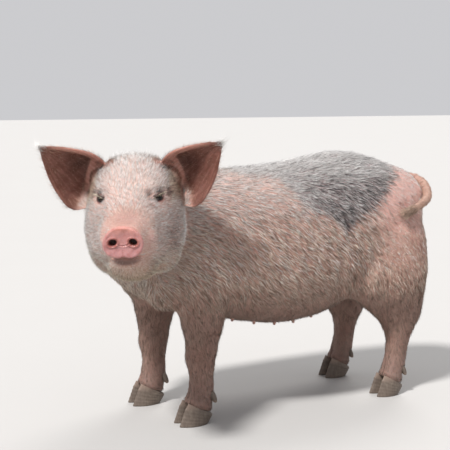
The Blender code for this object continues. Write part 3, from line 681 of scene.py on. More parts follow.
def mixed(share, first, second, blend="MIX"):
    """Two colours mixed by a share that may change over the surface."""
    start = share if isinstance(share, Wire) else first
    first, second = (c if isinstance(c, Wire) else (*c, 1) for c in (first, second))
    return start.add(
        "Mix", {"data_type": "RGBA", "blend_type": blend}, {0: share, 6: first, 7: second}, out=2
    )


def noise(wire, place, scale, detail=3.0):
    """Cloudy noise of about 0 to 1, its size the scale's inverse."""
    return wire.add("TexNoise", {}, {"Vector": place, "Scale": scale, "Detail": detail})


def stepped(value, start, end):
    """0 below start and 1 above end."""
    settings = {"interpolation_type": "SMOOTHSTEP"}
    return value.add("MapRange", settings, {"Value": value, "From Min": start, "From Max": end})


def tell(piece, name, values):
    """Stores a number or a colour for each of the piece's points."""
    colour = np.ndim(values) == 2
    kind, field = ("FLOAT_COLOR", "color") if colour else ("FLOAT", "value")
    if colour:
        values = np.concatenate([values, np.ones((len(values), 1))], 1)
    made = piece.data.attributes.new(name, kind, "POINT")
    made.data.foreach_set(field, np.ascontiguousarray(values, np.float32).ravel())


def layered(base, layers):
    """A colour for each point: the base, with each layer's colour laid over it by the layer's share."""
    colour = np.array(base, float) * np.ones((len(layers[0][0]), 1))
    for share, shade in layers:
        share = np.clip(share, 0, 1)[:, None]
        colour = colour * (1 - share) + np.array(shade) * share
    return colour


# The grey saddle's edge on the left side, from its front along the flank to the rump: the place
# along the body and the height.
SADDLE = (
    (-0.060, 0.445),
    (-0.033, 0.421),
    (-0.015, 0.416),
    (0.0135, 0.411),
    (0.0385, 0.407),
    (0.0462, 0.396),
    (0.0584, 0.376),
    (0.0807, 0.355),
    (0.1137, 0.345),
    (0.1302, 0.329),
    (0.1440, 0.314),
    (0.1654, 0.333),
    (0.1848, 0.344),
    (0.2190, 0.356),
    (0.2404, 0.374),
    (0.2629, 0.395),
    (0.2819, 0.4055),
    (0.295, 0.430),
)


def saddle_share(points):
    """How much of the grey saddle each place has: 1 above its edge, with an uneven border and a
    spot in front."""
    x, y, z = points.T
    edge = np.interp(y, *np.array(SADDLE).T, left=0.6, right=0.6)
    other = ramp(BODY_X - x, -0.02, 0.03)
    edge = edge + other * (0.012 * np.sin(y * 34 + 0.6) - 0.008)
    edge = edge + 0.0045 * ripple(points, 0.016, 21) + 0.0025 * ripple(points, 0.006, 22)
    share = ramp(z - edge, -0.006, 0.007)
    spot = hill(points, (0.0404, 0.0644, 0.3527), (0.030, 0.008, 0.008))
    return np.maximum(share, 0.55 * ramp(spot, 0.25, 0.7))


PINK = (0.56, 0.350, 0.290)


def lip_share(side):
    """1 on the bare lips under the disc, which are painted dark, partly their own colour and partly shade
    under the disc, in the head's frame with its right side mirrored.
    """
    return hill(side, (0.0, 0.024, -0.0325), (0.028, 0.016, 0.0072))


def skin_tone(points):
    """The hide's colour at each place, in layers over pink: its own tone, with painted light on the back
    and painted shade low on the trunk and ham, on the legs, under the jaw, on the lips and in the ear
    cups.
    """
    local = to_head(points)
    _, y, z = points.T
    side = mirrored(local)
    head, ears, legs = part_weights(points)
    t, w, depth, _ = ear_place(points)
    front = ears * ramp(depth, 0.0008, -0.0008)
    cup = front * cup_share(t, w)
    back = ramp(z, 0.33, 0.43)
    mottle = 0.5 + 0.5 * ripple(points, 0.05, 31)
    fine = 0.5 + 0.5 * ripple(points, 0.012, 32)
    streak = ramp(ripple(np.stack([0.030 * t, 0.050 * w, 0 * t], 1), 0.0060, 33), -0.1, 0.7)
    layers = [
        # Paler on the back: partly the hide's own tone, partly painted light from above.
        (0.6 * back * (1 - head), (0.74, 0.540, 0.480)),
        # Browner low on the trunk: partly the hide's own tone, partly painted shade under the body.
        (0.6 * ramp(z, 0.24, 0.16) * (1 - head), (0.50, 0.315, 0.260)),
        (0.45 * mottle, (0.56, 0.330, 0.280)),
        (0.60 * (1 - head) * ramp(y, 0.24, 0.14) * ramp(z, 0.415, 0.355), (0.34, 0.205, 0.165)),
        (0.7 * ramp(y, 0.17, 0.26) * ramp(z, 0.26, 0.34), (0.60, 0.350, 0.308)),
        # Darker low on the ham: painted shade under the rump.
        (0.70 * ramp(y, 0.17, 0.26) * ramp(z, 0.34, 0.26), (0.34, 0.200, 0.160)),
        (0.85 * saddle_share(points), (0.235, 0.218, 0.224)),
        # The saddle paler towards its top: partly its own tone, partly painted light from above.
        (0.35 * saddle_share(points) * ramp(z, 0.405, 0.440), (0.42, 0.395, 0.400)),
        # Darker again low on the flank and belly: partly a browner hide, partly painted shade under the
        # body.
        (0.4 * ramp(z, 0.30, 0.22) * (1 - head), (0.36, 0.230, 0.180)),
        # Darker legs, darker still towards the feet: partly dark, muddy hide, partly painted shade under
        # the body.
        (legs * 0.80, (0.23, 0.145, 0.115)),
        (0.55 * legs * ramp(z, 0.10, 0.04), (0.20, 0.140, 0.120)),
        # Browner under the jaw at the throat: partly the hide's own tone, partly painted shade under the
        # head.
        (0.7 * hill(side, (0.0, 0.20, -0.085), (0.06, 0.07, 0.035)), (0.40, 0.260, 0.190)),
        (head * 0.6 * ramp(local[:, 2], 0.02, 0.07), (0.64, 0.460, 0.400)),
        (0.85 * hill(side, (0.0, 0.046, 0.030), (0.032, 0.034, 0.020)), (0.31, 0.180, 0.155)),
        # Darker, browner chin: partly its own tone, partly painted shade under the head.
        (0.45 * hill(side, (0.0, 0.075, -0.072), (0.040, 0.060, 0.022)), (0.36, 0.250, 0.165)),
        (0.55 * hill(side, (0.0, 0.060, -0.060), (0.045, 0.060, 0.026)), (0.27, 0.185, 0.130)),
        # Dark lips under the disc: partly their own colour, partly painted shade under the disc.
        (0.90 * ramp(lip_share(side), 0.1, 0.9), (0.110, 0.060, 0.050)),
        (0.5 * hill(side, (0.038, 0.050, -0.008), (0.012, 0.014, 0.010)), (0.66, 0.380, 0.345)),
        (0.6 * hill(side, (0.030, 0.104, 0.031), (0.012, 0.012, 0.007)), (0.66, 0.360, 0.330)),
        (0.65 * hill(side, (0.046, 0.118, 0.052), (0.014, 0.016, 0.009)), (0.20, 0.145, 0.130)),
        (0.75 * hill(local, (0.028, 0.103, 0.046), (0.007, 0.010, 0.008)), (0.26, 0.150, 0.120)),
        (ears * 0.7, (0.56, 0.330, 0.275)),
        (front * 0.85, (0.44, 0.190, 0.145)),
        (front * 0.75 * ramp(w, -0.35, -0.75) * ramp(t, -0.02, 0.10), (0.30, 0.135, 0.110)),
        # The cup's face dark red-brown: partly its own darker skin, partly painted shade in the hollow.
        (cup * 0.95, (0.150, 0.056, 0.038)),
        (cup * 0.55 * streak, (0.300, 0.140, 0.110)),
        (front * (1 - cup) * 0.40 * streak, (0.62, 0.380, 0.320)),
        # Darkest deep in the cup: mostly painted shade in its hollow.
        (cup * 0.80 * hill(np.stack([t, w], 1), (0.34, 0.30), (0.24, 0.5)), (0.060, 0.026, 0.019)),
        (cup * 0.50 * hill(np.stack([t, w], 1), (0.26, -0.70), (0.18, 0.30)), (0.21, 0.095, 0.078)),
        (0.10 * fine, (0.48, 0.260, 0.220)),
    ]
    return layered(PINK, layers)


points, normals = places(skin)
tell(skin, "tone", skin_tone(points))
hide, wire, feed = finish_of(
    "hide", {"Subsurface Weight": 0.08, "Subsurface Scale": 0.004, "Specular IOR Level": 0.35}
)
place = wire.add("TexCoord", out=3)
tone = wire.add("Attribute", {"attribute_name": "tone"})
blotch = stepped(noise(wire, place, 26.0), 0.42, 0.68)
speck = stepped(noise(wire, place, 420.0, 2.0), 0.56, 0.74)
colour = mixed(blotch * 0.22, tone, (0.50, 0.22, 0.19), "MULTIPLY")
colour = mixed(speck * 0.35, colour, (0.62, 0.48, 0.42), "MULTIPLY")
cells = wire.add("TexVoronoi", {"feature": "DISTANCE_TO_EDGE"}, {"Vector": place, "Scale": 800.0})
grain = (
    noise(wire, place, 1100.0, 2.0) * 0.5 + stepped(cells, 0.0, 0.25) * 0.30
    + noise(wire, place, 260.0) * 0.8
)
bump = wire.add("Bump", {}, {"Height": grain, "Strength": 0.35, "Distance": 0.0006})
feed(Base_Color=colour, Roughness=0.50 + noise(wire, place, 60.0) * 0.22, Normal=bump)
skin.data.materials.append(hide)
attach(skin, "root")
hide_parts(*FLESH, "ear_left", "ear_right")

# Snout. A disc of tough bare skin on a plate of gristle, wider below than above, with a
# raised edge, a notch in its lower rim, two round nostrils and a crease between them.
DISC_HALF_WIDTH = 0.0290
DISC_TOP = 0.0238
DISC_BOTTOM = 0.0222
NOSTRIL = (0.0144, 0.0016)
NOSTRIL_RADII = (0.0058, 0.0048)
NOSTRIL_DEPTH = 0.012
NOSTRIL_CREASE = (
    (-0.0084, 0, -0.0006), (-0.0045, 0, -0.0026), (0, 0, -0.0033), (0.0045, 0, -0.0026),
    (0.0084, 0, -0.0006)
)


def disc_rings(steps=78, sides=200):
    """Rings from the middle of the disc's face over its rim and back into the muzzle. The rim is a
    rounded oval, narrower above. Each ring is it, scaled; the nostrils are pressed in where a ring
    passes near them."""
    angle = turns(sides)
    c, s = np.cos(angle), np.sin(angle)
    x = DISC_HALF_WIDTH * np.sign(c) * np.abs(c) ** 0.80 * (1 - 0.20 * np.maximum(s, 0) ** 1.3)
    z = np.where(s > 0, DISC_TOP * np.abs(s) ** 0.86, -DISC_BOTTOM * np.abs(s) ** 0.80)
    z = z + 0.0026 * bell(x, 0.0055) * (s < 0)
    profile = (
        (0.00, 0.020, 0.0006),
        (0.30, 0.350, 0.0005),
        (0.52, 0.800, -0.0004),
        (0.60, 0.930, -0.0004),
        (0.66, 0.985, 0.0012),
        (0.73, 1.000, 0.0040),
        (0.81, 0.985, 0.0085),
        (0.88, 0.930, 0.0130),
        (0.94, 0.860, 0.0175),
        (1.00, 0.780, 0.0260),
    )
    along = np.linspace(0, 1, steps)
    rows = np.array(profile)
    scale = curve(rows[:, :2], along)[:, None]
    back = curve(rows[:, [0, 2]], along)[:, None] * np.ones((1, sides))
    x, z = x * scale, z * scale
    face = (along < 0.60)[:, None]
    aside = np.abs(x) - NOSTRIL[0]
    near = np.hypot(aside / NOSTRIL_RADII[0], (z - NOSTRIL[1] + 0.10 * aside) / NOSTRIL_RADII[1])
    swelling = (0.0009 + 0.0006 * (z < NOSTRIL[1])) * bell(near - 1.42, 0.28)
    back = back + NOSTRIL_DEPTH * ramp(near, 1.06, 0.80) * face - swelling * face
    flat = np.stack([x.ravel(), 0 * x.ravel(), z.ravel()], 1)
    crease = near_path(flat, NOSTRIL_CREASE)[0].reshape(x.shape)
    lip_of_crease = bell(crease - 0.0020, 0.001)
    back = back + face * (0.0008 * bell(crease, 0.0008) - 0.0004 * lip_of_crease)
    back = back + face * 0.0006 * bell(x, 0.0016) * ramp(z, -0.006, -0.012)
    back = back + 0.00035 * ripple(flat, 0.012, 41).reshape(x.shape) * ramp(scale, 0.0, 0.4)
    return np.stack([x, back, z], -1), near, crease


rings, near, crease = disc_rings()
snout = loft("snout_disc", from_head(rings))
flat = np.concatenate([rings.reshape(-1, 3), rings[0].mean(0)[None], rings[-1].mean(0)[None]])
near = np.concatenate([near.ravel(), [9.0, 9.0]])
crease = np.concatenate([crease.ravel(), [0.01, 0.01]])
x, y, z = flat.T
rim = np.hypot(x / DISC_HALF_WIDTH, z / DISC_TOP)
tones = [
    (0.80 * ramp(z, 0.003, -0.006), (0.47, 0.225, 0.222)),
    # Darker along the bottom rim: painted shade under the disc.
    (0.65 * ramp(z, -0.0150, -0.0215), (0.30, 0.125, 0.110)),
    # Lighter, oranger along the top rim: painted light from above.
    (0.60 * ramp(z, 0.012, 0.022), (0.60, 0.270, 0.205)),
    # Dark red round the nostrils: partly redder skin, partly painted shade in their funnels.
    (0.80 * bell(near - 1.20, 0.42), (0.29, 0.085, 0.065)),
    (0.50 * bell(crease, 0.0012), (0.52, 0.230, 0.210)),
    (0.80 * ramp(y, 0.0030, 0.0120), (0.45, 0.235, 0.205)),
    (0.35 * ramp(rim, 0.85, 1.02), (0.50, 0.250, 0.225)),
    # Near black inside the nostrils: painted shade in the holes.
    (0.97 * ramp(near, 1.08, 0.72), (0.030, 0.010, 0.008)),
]
tell(snout, "tone", layered((0.47, 0.215, 0.200), tones))
disc, wire, feed = finish_of("disc", {"Subsurface Weight": 0.12, "Subsurface Scale": 0.004})
place = wire.add("TexCoord", out=3)
tone = wire.add("Attribute", {"attribute_name": "tone"})
redness = stepped(noise(wire, place, 130.0), 0.45, 0.70) * 0.45
colour = mixed(redness, tone, (0.66, 0.40, 0.37), "MULTIPLY")
cells = wire.add("TexVoronoi", {"feature": "DISTANCE_TO_EDGE"}, {"Vector": place, "Scale": 760.0})
grain = stepped(cells, 0.0, 0.18) * 0.7 + noise(wire, place, 1500.0, 2.0) * 0.4
bump = wire.add("Bump", {}, {"Height": grain, "Strength": 0.45, "Distance": 0.0005})
feed(Base_Color=colour, Roughness=0.18 + noise(wire, place, 240.0) * 0.22, Normal=bump)
snout.data.materials.append(disc)
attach(snout, "root")
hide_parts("snout")

# Eyes. Small dark globes set deep, with a dark brown iris, a broad pupil and a wet
# surface, a pink corner towards the snout, and thick lids that roll over the globe.
LID_HALF_LENGTH = 0.0106
LID_HALF_OPENING = 0.0048


def eye_axes(sign):
    """The eye's own axes as columns: towards its back corner, up across the lids, and out along the
    gaze."""
    gaze = unit(np.array(EYE_GAZE) * (sign, 1, 1))
    level = unit(np.cross((0, 0, 1), gaze)) * sign
    upward = unit(np.cross(gaze, level)) * sign
    corner = level * math.cos(EYE_SLANT) + upward * math.sin(EYE_SLANT)
    return np.stack([corner, np.cross(gaze, corner) * sign, gaze], 1)


def lid_rings(sign):
    """A roll round the opening: at each angle a closed section that rises from inside the lid over
    its thick edge, lies on the globe with a fold or two, and sinks into the hide."""
    section = np.array((
        (-0.0003, -0.0016),
        (-0.0004, 0.0001),
        (0.0000, 0.0010),
        (0.0007, 0.0015),
        (0.0017, 0.0015),
        (0.0027, 0.0009),
        (0.0036, 0.0010),
        (0.0047, 0.0006),
        (0.0058, -0.0006),
        (0.0070, -0.0020),
        (0.0084, -0.0042),
        (0.0090, -0.0066),
        (0.0060, -0.0060),
    ))
    at = np.linspace(0, 1, len(section))
    share = np.linspace(0, 1, 60, endpoint=False)
    out = curve(np.stack([at, section[:, 0]], 1), share)
    rise = curve(np.stack([at, section[:, 1]], 1), share)
    angle = turns(128)[:, None]
    c, s = np.cos(angle), np.sin(angle)
    upper = ramp(s, -0.2, 0.4)
    a = (LID_HALF_LENGTH + out) * c
    b = (LID_HALF_OPENING * np.abs(s) ** 0.25 + out) * s
    lift = EYE_RADIUS + rise * (1 + 0.35 * upper) + 0.0002 * np.sin(angle * 9) * ramp(out, 0.001, 0.004)
    bend = np.hypot(a, b) / EYE_RADIUS
    turned = np.minimum(bend, 0.85)
    flat_out = np.maximum(bend - 0.85, 0) * EYE_RADIUS
    radial = np.stack([a, b], -1) / np.maximum(np.hypot(a, b), 1e-9)[..., None]
    wide = lift * np.sin(turned) + flat_out * np.cos(turned)
    tall = lift * np.cos(turned) - flat_out * np.sin(turned)
    shape = np.concatenate([radial * wide[..., None], tall[..., None]], -1)
    return EYE_CENTRE * (sign, 1, 1) + shape @ eye_axes(sign).T


def lid_tone(sign, points):
    """The hide's tone, dark along the upper edge and pink along the lower one."""
    local = (to_head(points) - EYE_CENTRE * (sign, 1, 1)) @ eye_axes(sign)
    away = np.hypot(local[:, 0] / LID_HALF_LENGTH, local[:, 1] / LID_HALF_OPENING)
    upper = ramp(local[:, 1], -0.0005, 0.0015)
    edge = ramp(away, 1.9, 1.3)
    return layered((0.50, 0.300, 0.255), [
        (ramp(away, 1.6, 2.6), skin_tone(points)),
        # Dark along the upper edge: partly the lid's own dark rim, partly painted shade under the brow.
        (upper * (0.35 + 0.6 * edge), (0.050, 0.034, 0.030)),
        ((1 - upper) * edge * 0.8, (0.46, 0.215, 0.190)),
        (ramp(away, 1.25, 1.02) * (1 - upper), (0.12, 0.060, 0.052)),
    ])


eye_glass, wire, feed = finish_of(
    "eye", {"Coat Weight": 0.20, "Coat Roughness": 0.02, "Specular IOR Level": 0.12}
)
radius = wire.add("Attribute", {"attribute_name": "from_pupil"}, out=2)
stops = (
    (0.0, (0.002, 0.002, 0.002)),
    (0.40, (0.003, 0.002, 0.002)),
    (0.47, (0.030, 0.013, 0.007)),
    (0.72, (0.020, 0.009, 0.005)),
    (0.80, (0.005, 0.003, 0.002)),
    (0.90, (0.10, 0.050, 0.040)),
    (1.0, (0.24, 0.14, 0.12)),
)
iris = radius.add("ValToRGB", {"stops": stops}, {0: radius})
fleck = noise(wire, wire.add("TexCoord", out=3), 900.0)
feed(Base_Color=mixed(fleck * 0.4, iris, (0.4, 0.3, 0.25), "MULTIPLY"), Roughness=0.05 + fleck * 0.03)
for side, sign in SIDES.items():
    rings = ball(np.zeros(3), EYE_RADIUS - 0.0001, 64)
    away = np.arccos(np.clip(rings[..., 2] / EYE_RADIUS, -1, 1)) * EYE_RADIUS
    rings = rings * (1 + 0.05 * ramp(away, 0.0065, 0.0)[..., None])
    eye = loft("eye_ball_" + side, from_head(EYE_CENTRE * (sign, 1, 1) + rings @ eye_axes(sign).T))
    tell(eye, "from_pupil", np.clip(np.concatenate([away.ravel(), [0.0, 0.03]]) / 0.010, 0, 1))
    eye.data.materials.append(eye_glass)
    lids = loft("lids_" + side, from_head(lid_rings(sign)), looped=True)
    tell(lids, "tone", lid_tone(sign, places(lids)[0]))
    lids.data.materials.append(hide)
    corner = EYE_CENTRE * (sign, 1, 1) + eye_axes(sign) @ (-0.0082, -0.0006, 0.0057)
    pink = loft("eye_corner_" + side, from_head(ball(corner, 0.0016, 20)))
    tell(pink, "tone", np.full((len(pink.data.vertices), 3), (0.36, 0.150, 0.135)))
    pink.data.materials.append(disc)
    for piece, slot in ((eye, "eye"), (lids, "skin"), (pink, "skin")):
        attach(piece, "root")
    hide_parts("eye_" + side)

# Tail. A thin naked-looking tail with ring creases. It leaves the rump, folds over to the
# left and lies forward on the ham, flatter towards its tip.
count = len(TAIL_LINE)
share = np.linspace(0, 1, count)
creases = np.cos(np.cumsum(np.full(count, 2 * math.pi * 0.0023 / 0.0075))) * 0.035
radii = (curve(TAIL_RADII, share) - 0.0006) * (1 + creases * ramp(share, 1.0, 0.6))
radii = radii * np.where(share > 0.97, np.sqrt(np.maximum(0.02, 1 - ((share - 0.97) / 0.03) ** 2)), 1)
rings = tube(TAIL_LINE, radii, 40, 0.92)
tail = loft("tail", rings)
points = places(tail)[0]
along = np.concatenate([np.repeat(share, 40), [0, 1]])
ring = np.concatenate([np.repeat(creases, 40), [0, 0]])
shade = [
    (0.5 + 0.5 * ramp(along, 0.15, 0.6), (0.44, 0.280, 0.215)),
    (0.45 * (0.5 + 0.5 * ripple(points, 0.008, 51)), (0.28, 0.170, 0.135)),
    # Darker in the ring creases: painted shade.
    (0.5 * ramp(ring, -0.01, -0.035), (0.24, 0.130, 0.100)),
]
tell(tail, "tone", layered((0.60, 0.330, 0.285), shade))
tail.data.materials.append(hide)
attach(tail, "root")
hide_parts("tail_root", "tail_tip")

# Claws and dewclaws. Two weight-bearing claws of dark horn on each foot, flat on the
# ground, with growth lines along the coronet, and two small cones behind the fetlock.
CORONET = (0.036, 0.017)
FOOT_Y = {"fore": (-0.1606, -0.1116), "hind": (0.2404, 0.2844)}
FOOT_SHIFT = {"fore": {"left": 0.015, "right": -0.014}, "hind": {"left": 0.008, "right": -0.012}}
CLAW_HALF_WIDTH = 0.0106
CLAW_SPREAD = 0.0122
CLAW_TOE = 0.0118


def claw_rings(foot, hand, place):
    """Rings from the sole to the coronet. Each is an oval, pointed in front and flatter on the
    inner side; the sole is the lowest, and heights grow to the coronet's slanting line."""
    front, back = (value + FOOT_SHIFT[foot][hand] for value in FOOT_Y[foot])
    outward = SIDES[hand] * (1 if place == "outer" else -1)
    rows = np.concatenate([[0.0, 0.0, 0.03, 0.08], np.linspace(0.14, 1.08, 26)])[:, None]
    inset = np.concatenate([[0.55, 0.93, 0.985, 1.0], np.ones(18), np.linspace(1.0, 0.86, 8)])[:, None]
    angle = turns(56)[None]
    c, s = np.cos(angle), np.sin(angle)
    half = (back - front) / 2
    point = 1 - 0.40 * np.maximum(0, -s) ** 2
    width = CLAW_HALF_WIDTH * (1 - 0.10 * rows) * np.where(c < 0, 0.84, 1.0)
    y = (
        (front + back) / 2 + (half + 0.0012 * (1 - rows)) * s * inset
        - CLAW_TOE * np.maximum(0, 1 - rows) ** 1.15
    )
    top = CORONET[1] + (CORONET[0] - CORONET[1]) * (back - (front + back) / 2 - half * s) / (2 * half)
    lines = 0.00028 * np.sin(rows * 34 + 0.8 * s) * ramp(rows, 0.05, 0.2) * ramp(rows, 1.0, 0.9)
    x = BODY_X + SIDES[hand] * LEG_X[foot] + outward * (CLAW_SPREAD + (width + lines) * c * point * inset)
    return np.stack([x + 0 * y, y + lines * s, top * rows], -1)


def dewclaw_rings(foot, hand, place):
    """Round rings along a short line down and back, their radius the root of a falling parabola."""
    back = FOOT_Y[foot][1] + FOOT_SHIFT[foot][hand]
    outward = SIDES[hand] * (1 if place == "outer" else -1)
    share = np.linspace(-0.15, 1, 26)
    start = np.array((BODY_X + SIDES[hand] * LEG_X[foot] + outward * 0.0115, back - 0.003, 0.051))
    line = start + unit((outward * 0.25, 0.42, -0.85)) * 0.0176 * share[:, None]
    radii = (
        0.0062 * np.sqrt(np.maximum(0.02, 1 - 0.92 * np.maximum(share, 0) ** 2))
        * (1 + 0.03 * np.sin(share * 40))
    )
    return tube(line, radii, 28)


horn, wire, feed = finish_of("horn", {"Specular IOR Level": 0.4})
place = wire.add("TexCoord", out=3)
stretched = wire.add("Mapping", {}, {"Vector": place, "Scale": (1.0, 1.0, 0.06)})
streak = noise(wire, stretched, 520.0)
height = wire.add("SeparateXYZ", {}, {0: place}, out=2)
coronet = stepped(height, 0.024, 0.036) * (1 - stepped(height, 0.037, 0.042))
colour = mixed(stepped(streak, 0.38, 0.66), (0.118, 0.090, 0.072), (0.148, 0.115, 0.092))
colour = mixed(coronet * 0.6, colour, (0.30, 0.215, 0.170))
colour = mixed(stepped(noise(wire, place, 110.0), 0.5, 0.75) * 0.4, colour, (0.24, 0.200, 0.160))
grain = streak * 0.7 + noise(wire, place, 700.0) * 0.3
bump = wire.add("Bump", {}, {"Height": grain, "Strength": 0.25, "Distance": 0.0004})
feed(Base_Color=colour, Roughness=0.36 + noise(wire, place, 130.0) * 0.3, Normal=bump)
for foot in LEG_X:
    for hand in SIDES:
        for place in ("outer", "inner"):
            for kind, shape in (("claw", claw_rings), ("dewclaw", dewclaw_rings)):
                name = f"{kind}_{foot}_{hand}_{place}"
                piece = loft("horn_" + name, shape(foot, hand, place))
                piece.data.materials.append(horn)
                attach(piece, "root")
                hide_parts(name)

# Teats. Two rows of seven small blunt teats along the belly, folds of the hide itself, bare and
# pinker than it. Each is a short rounded cone that stands where a ray from below meets the hide.
TEATS_IN_A_ROW = 7
TEAT_ROW = (-0.035, 0.205)
TEAT_HEIGHT = 0.0062
hide_tree = BVHTree.FromObject(skin, bpy.context.evaluated_depsgraph_get())
teat_points, teat_faces = [], []
for sign in SIDES.values():
    for k, along in enumerate(np.linspace(*TEAT_ROW, TEATS_IN_A_ROW)):
        out = 0.034 + 0.006 * math.sin(k * 0.9)
        hit, normal, _, _ = hide_tree.ray_cast(
            Vector((BODY_X + sign * out, along, 0.05)), Vector((0, 0, 1))
        )
        share = np.linspace(-0.3, 1, 14)
        line = np.array(hit) + np.array(normal) * TEAT_HEIGHT * share[:, None]
        radii = (
            0.0040 - 0.0015 * ramp(share, 0.0, 0.5) - 0.0022 * ramp(share, 0.82, 1.0)
            + 0.0003 * np.sin(share * 20)
        )
        rings = tube(line, radii, 18)
        piece = loft("teat", rings)
        teat_faces.append(faces_of(piece, 3) + sum(map(len, teat_points)))
        teat_points.append(places(piece)[0])
        bpy.data.objects.remove(piece)
teats = surface("teats", np.concatenate(teat_points), np.concatenate(teat_faces))
tell(
    teats, "tone",
    np.array((0.52, 0.320, 0.270)) * (0.9 + 0.1 * ripple(places(teats)[0], 0.004, 61)[:, None])
)
teats.data.materials.append(hide)
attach(teats, "root")

# Coat. Short stiff bristles that lie flat and point back over the trunk, down on the legs
# and out along the ears, thin enough on belly and muzzle for the hide to show through.
HAIRS = 208000
MOST_TRIANGLES = 198000
COAT_SEED = 7


def strands(points, size=0.0021, seed=81):
    """Smooth noise of about -1 to 1 for the strands that the hairs gather into: in three fixed
    frames, for trunk, thigh and head, the noise is drawn out eight times along the coat, and the
    frames are mixed by their shares."""
    local = to_head(points) * 1.15
    head = part_weights(points)[0]
    rear = ramp(points[:, 1], 0.14, 0.22) * ramp(points[:, 2], 0.34, 0.26)
    fields = []
    frames = ((points, (0, 0.75, -0.66)), (points, (0, 0.40, -0.92)), (local, (0, 1, 0.05)))
    for places_in, along in frames:
        along = unit(along)
        fields.append(ripple(places_in - 0.88 * (places_in @ along)[:, None] * along, size, seed, 28))
    trunk = fields[0] * (1 - rear) + fields[1] * rear
    return trunk * (1 - head) + fields[2] * head


def coat_lie(points, normals):
    """The way the hairs point: a mix of the ways of head, ears, neck, trunk and legs, laid flat on
    the hide."""
    local = to_head(points)
    sign = np.where(local[:, :1] < 0, -1.0, 1.0)
    side = np.abs(local[:, :1])
    head, ears, legs = (share[:, None] for share in part_weights(points))
    x, y, z = (points[:, k : k + 1] for k in range(3))
    flank = ramp(z, 0.435, 0.36)
    way = np.concatenate([0 * x, 1 + 0 * x, -0.95 * flank], 1)
    thigh = ramp(z, 0.33, 0.22) * ramp(y, 0.10, 0.17)
    way = way * (1 - thigh) + thigh * np.array((0, 0.45, -1.0))
    arm = ramp(z, 0.27, 0.19) * ramp(y, 0.0, -0.05)
    way = way * (1 - arm) + arm * np.array((0, 0.35, -1.0))
    rump = ramp(y, 0.26, 0.34)
    way = way * (1 - rump) + rump * np.concatenate([(x - BODY_X) * 2, 0.3 + 0 * x, -0.9 + 0 * x], 1)
    way = way * (1 - legs) + legs * np.array((0, 0.18, -1.0))
    low = ramp(local[:, 2:], -0.02, -0.07)
    brow = ramp(local[:, 2:], 0.03, 0.07) * ramp(local[:, 1:2], 0.09, 0.13)
    face = np.concatenate(
        [sign * (0.10 + side * 5.0), 1 + 0 * side, -0.30 * (1 - brow) - 0.1 * low + 0.35 * brow], 1
    )
    neck = ramp(np.linalg.norm(points - (-0.01, -0.20, 0.33), axis=1), 0.16, 0.08)[:, None]
    way = way * (1 - 0.5 * neck) + 0.5 * neck * HEAD_AXES[:, 1]
    way = way * (1 - head) + head * (unit(face) @ HEAD_AXES.T)
    _, w, _, _ = ear_place(points)
    ahead, across, _ = ear_axes()
    fan = (
        ahead
        + across * (0.45 * w * ramp(np.abs(w), 0.5, 1.0) + 0.8 * w * ramp(np.abs(w), 0.90, 1.0))[:, None]
    )
    fan = fan * np.concatenate([sign, np.ones_like(sign), np.ones_like(sign)], 1)
    way = way * (1 - ears) + ears * (fan @ HEAD_AXES.T)
    way = way - normals * np.sum(way * normals, 1, keepdims=True)
    way = unit(way)
    across = np.cross(normals, way)
    slope = strands(points + 0.0004 * across) - strands(points - 0.0004 * across)
    turn = 0.16 * ripple(points, 0.030, 71) + 0.08 * ripple(points, 0.0065, 72, 20)
    turn = turn + 0.20 * np.tanh(slope)
    return unit(way * np.cos(turn)[:, None] + across * np.sin(turn)[:, None])


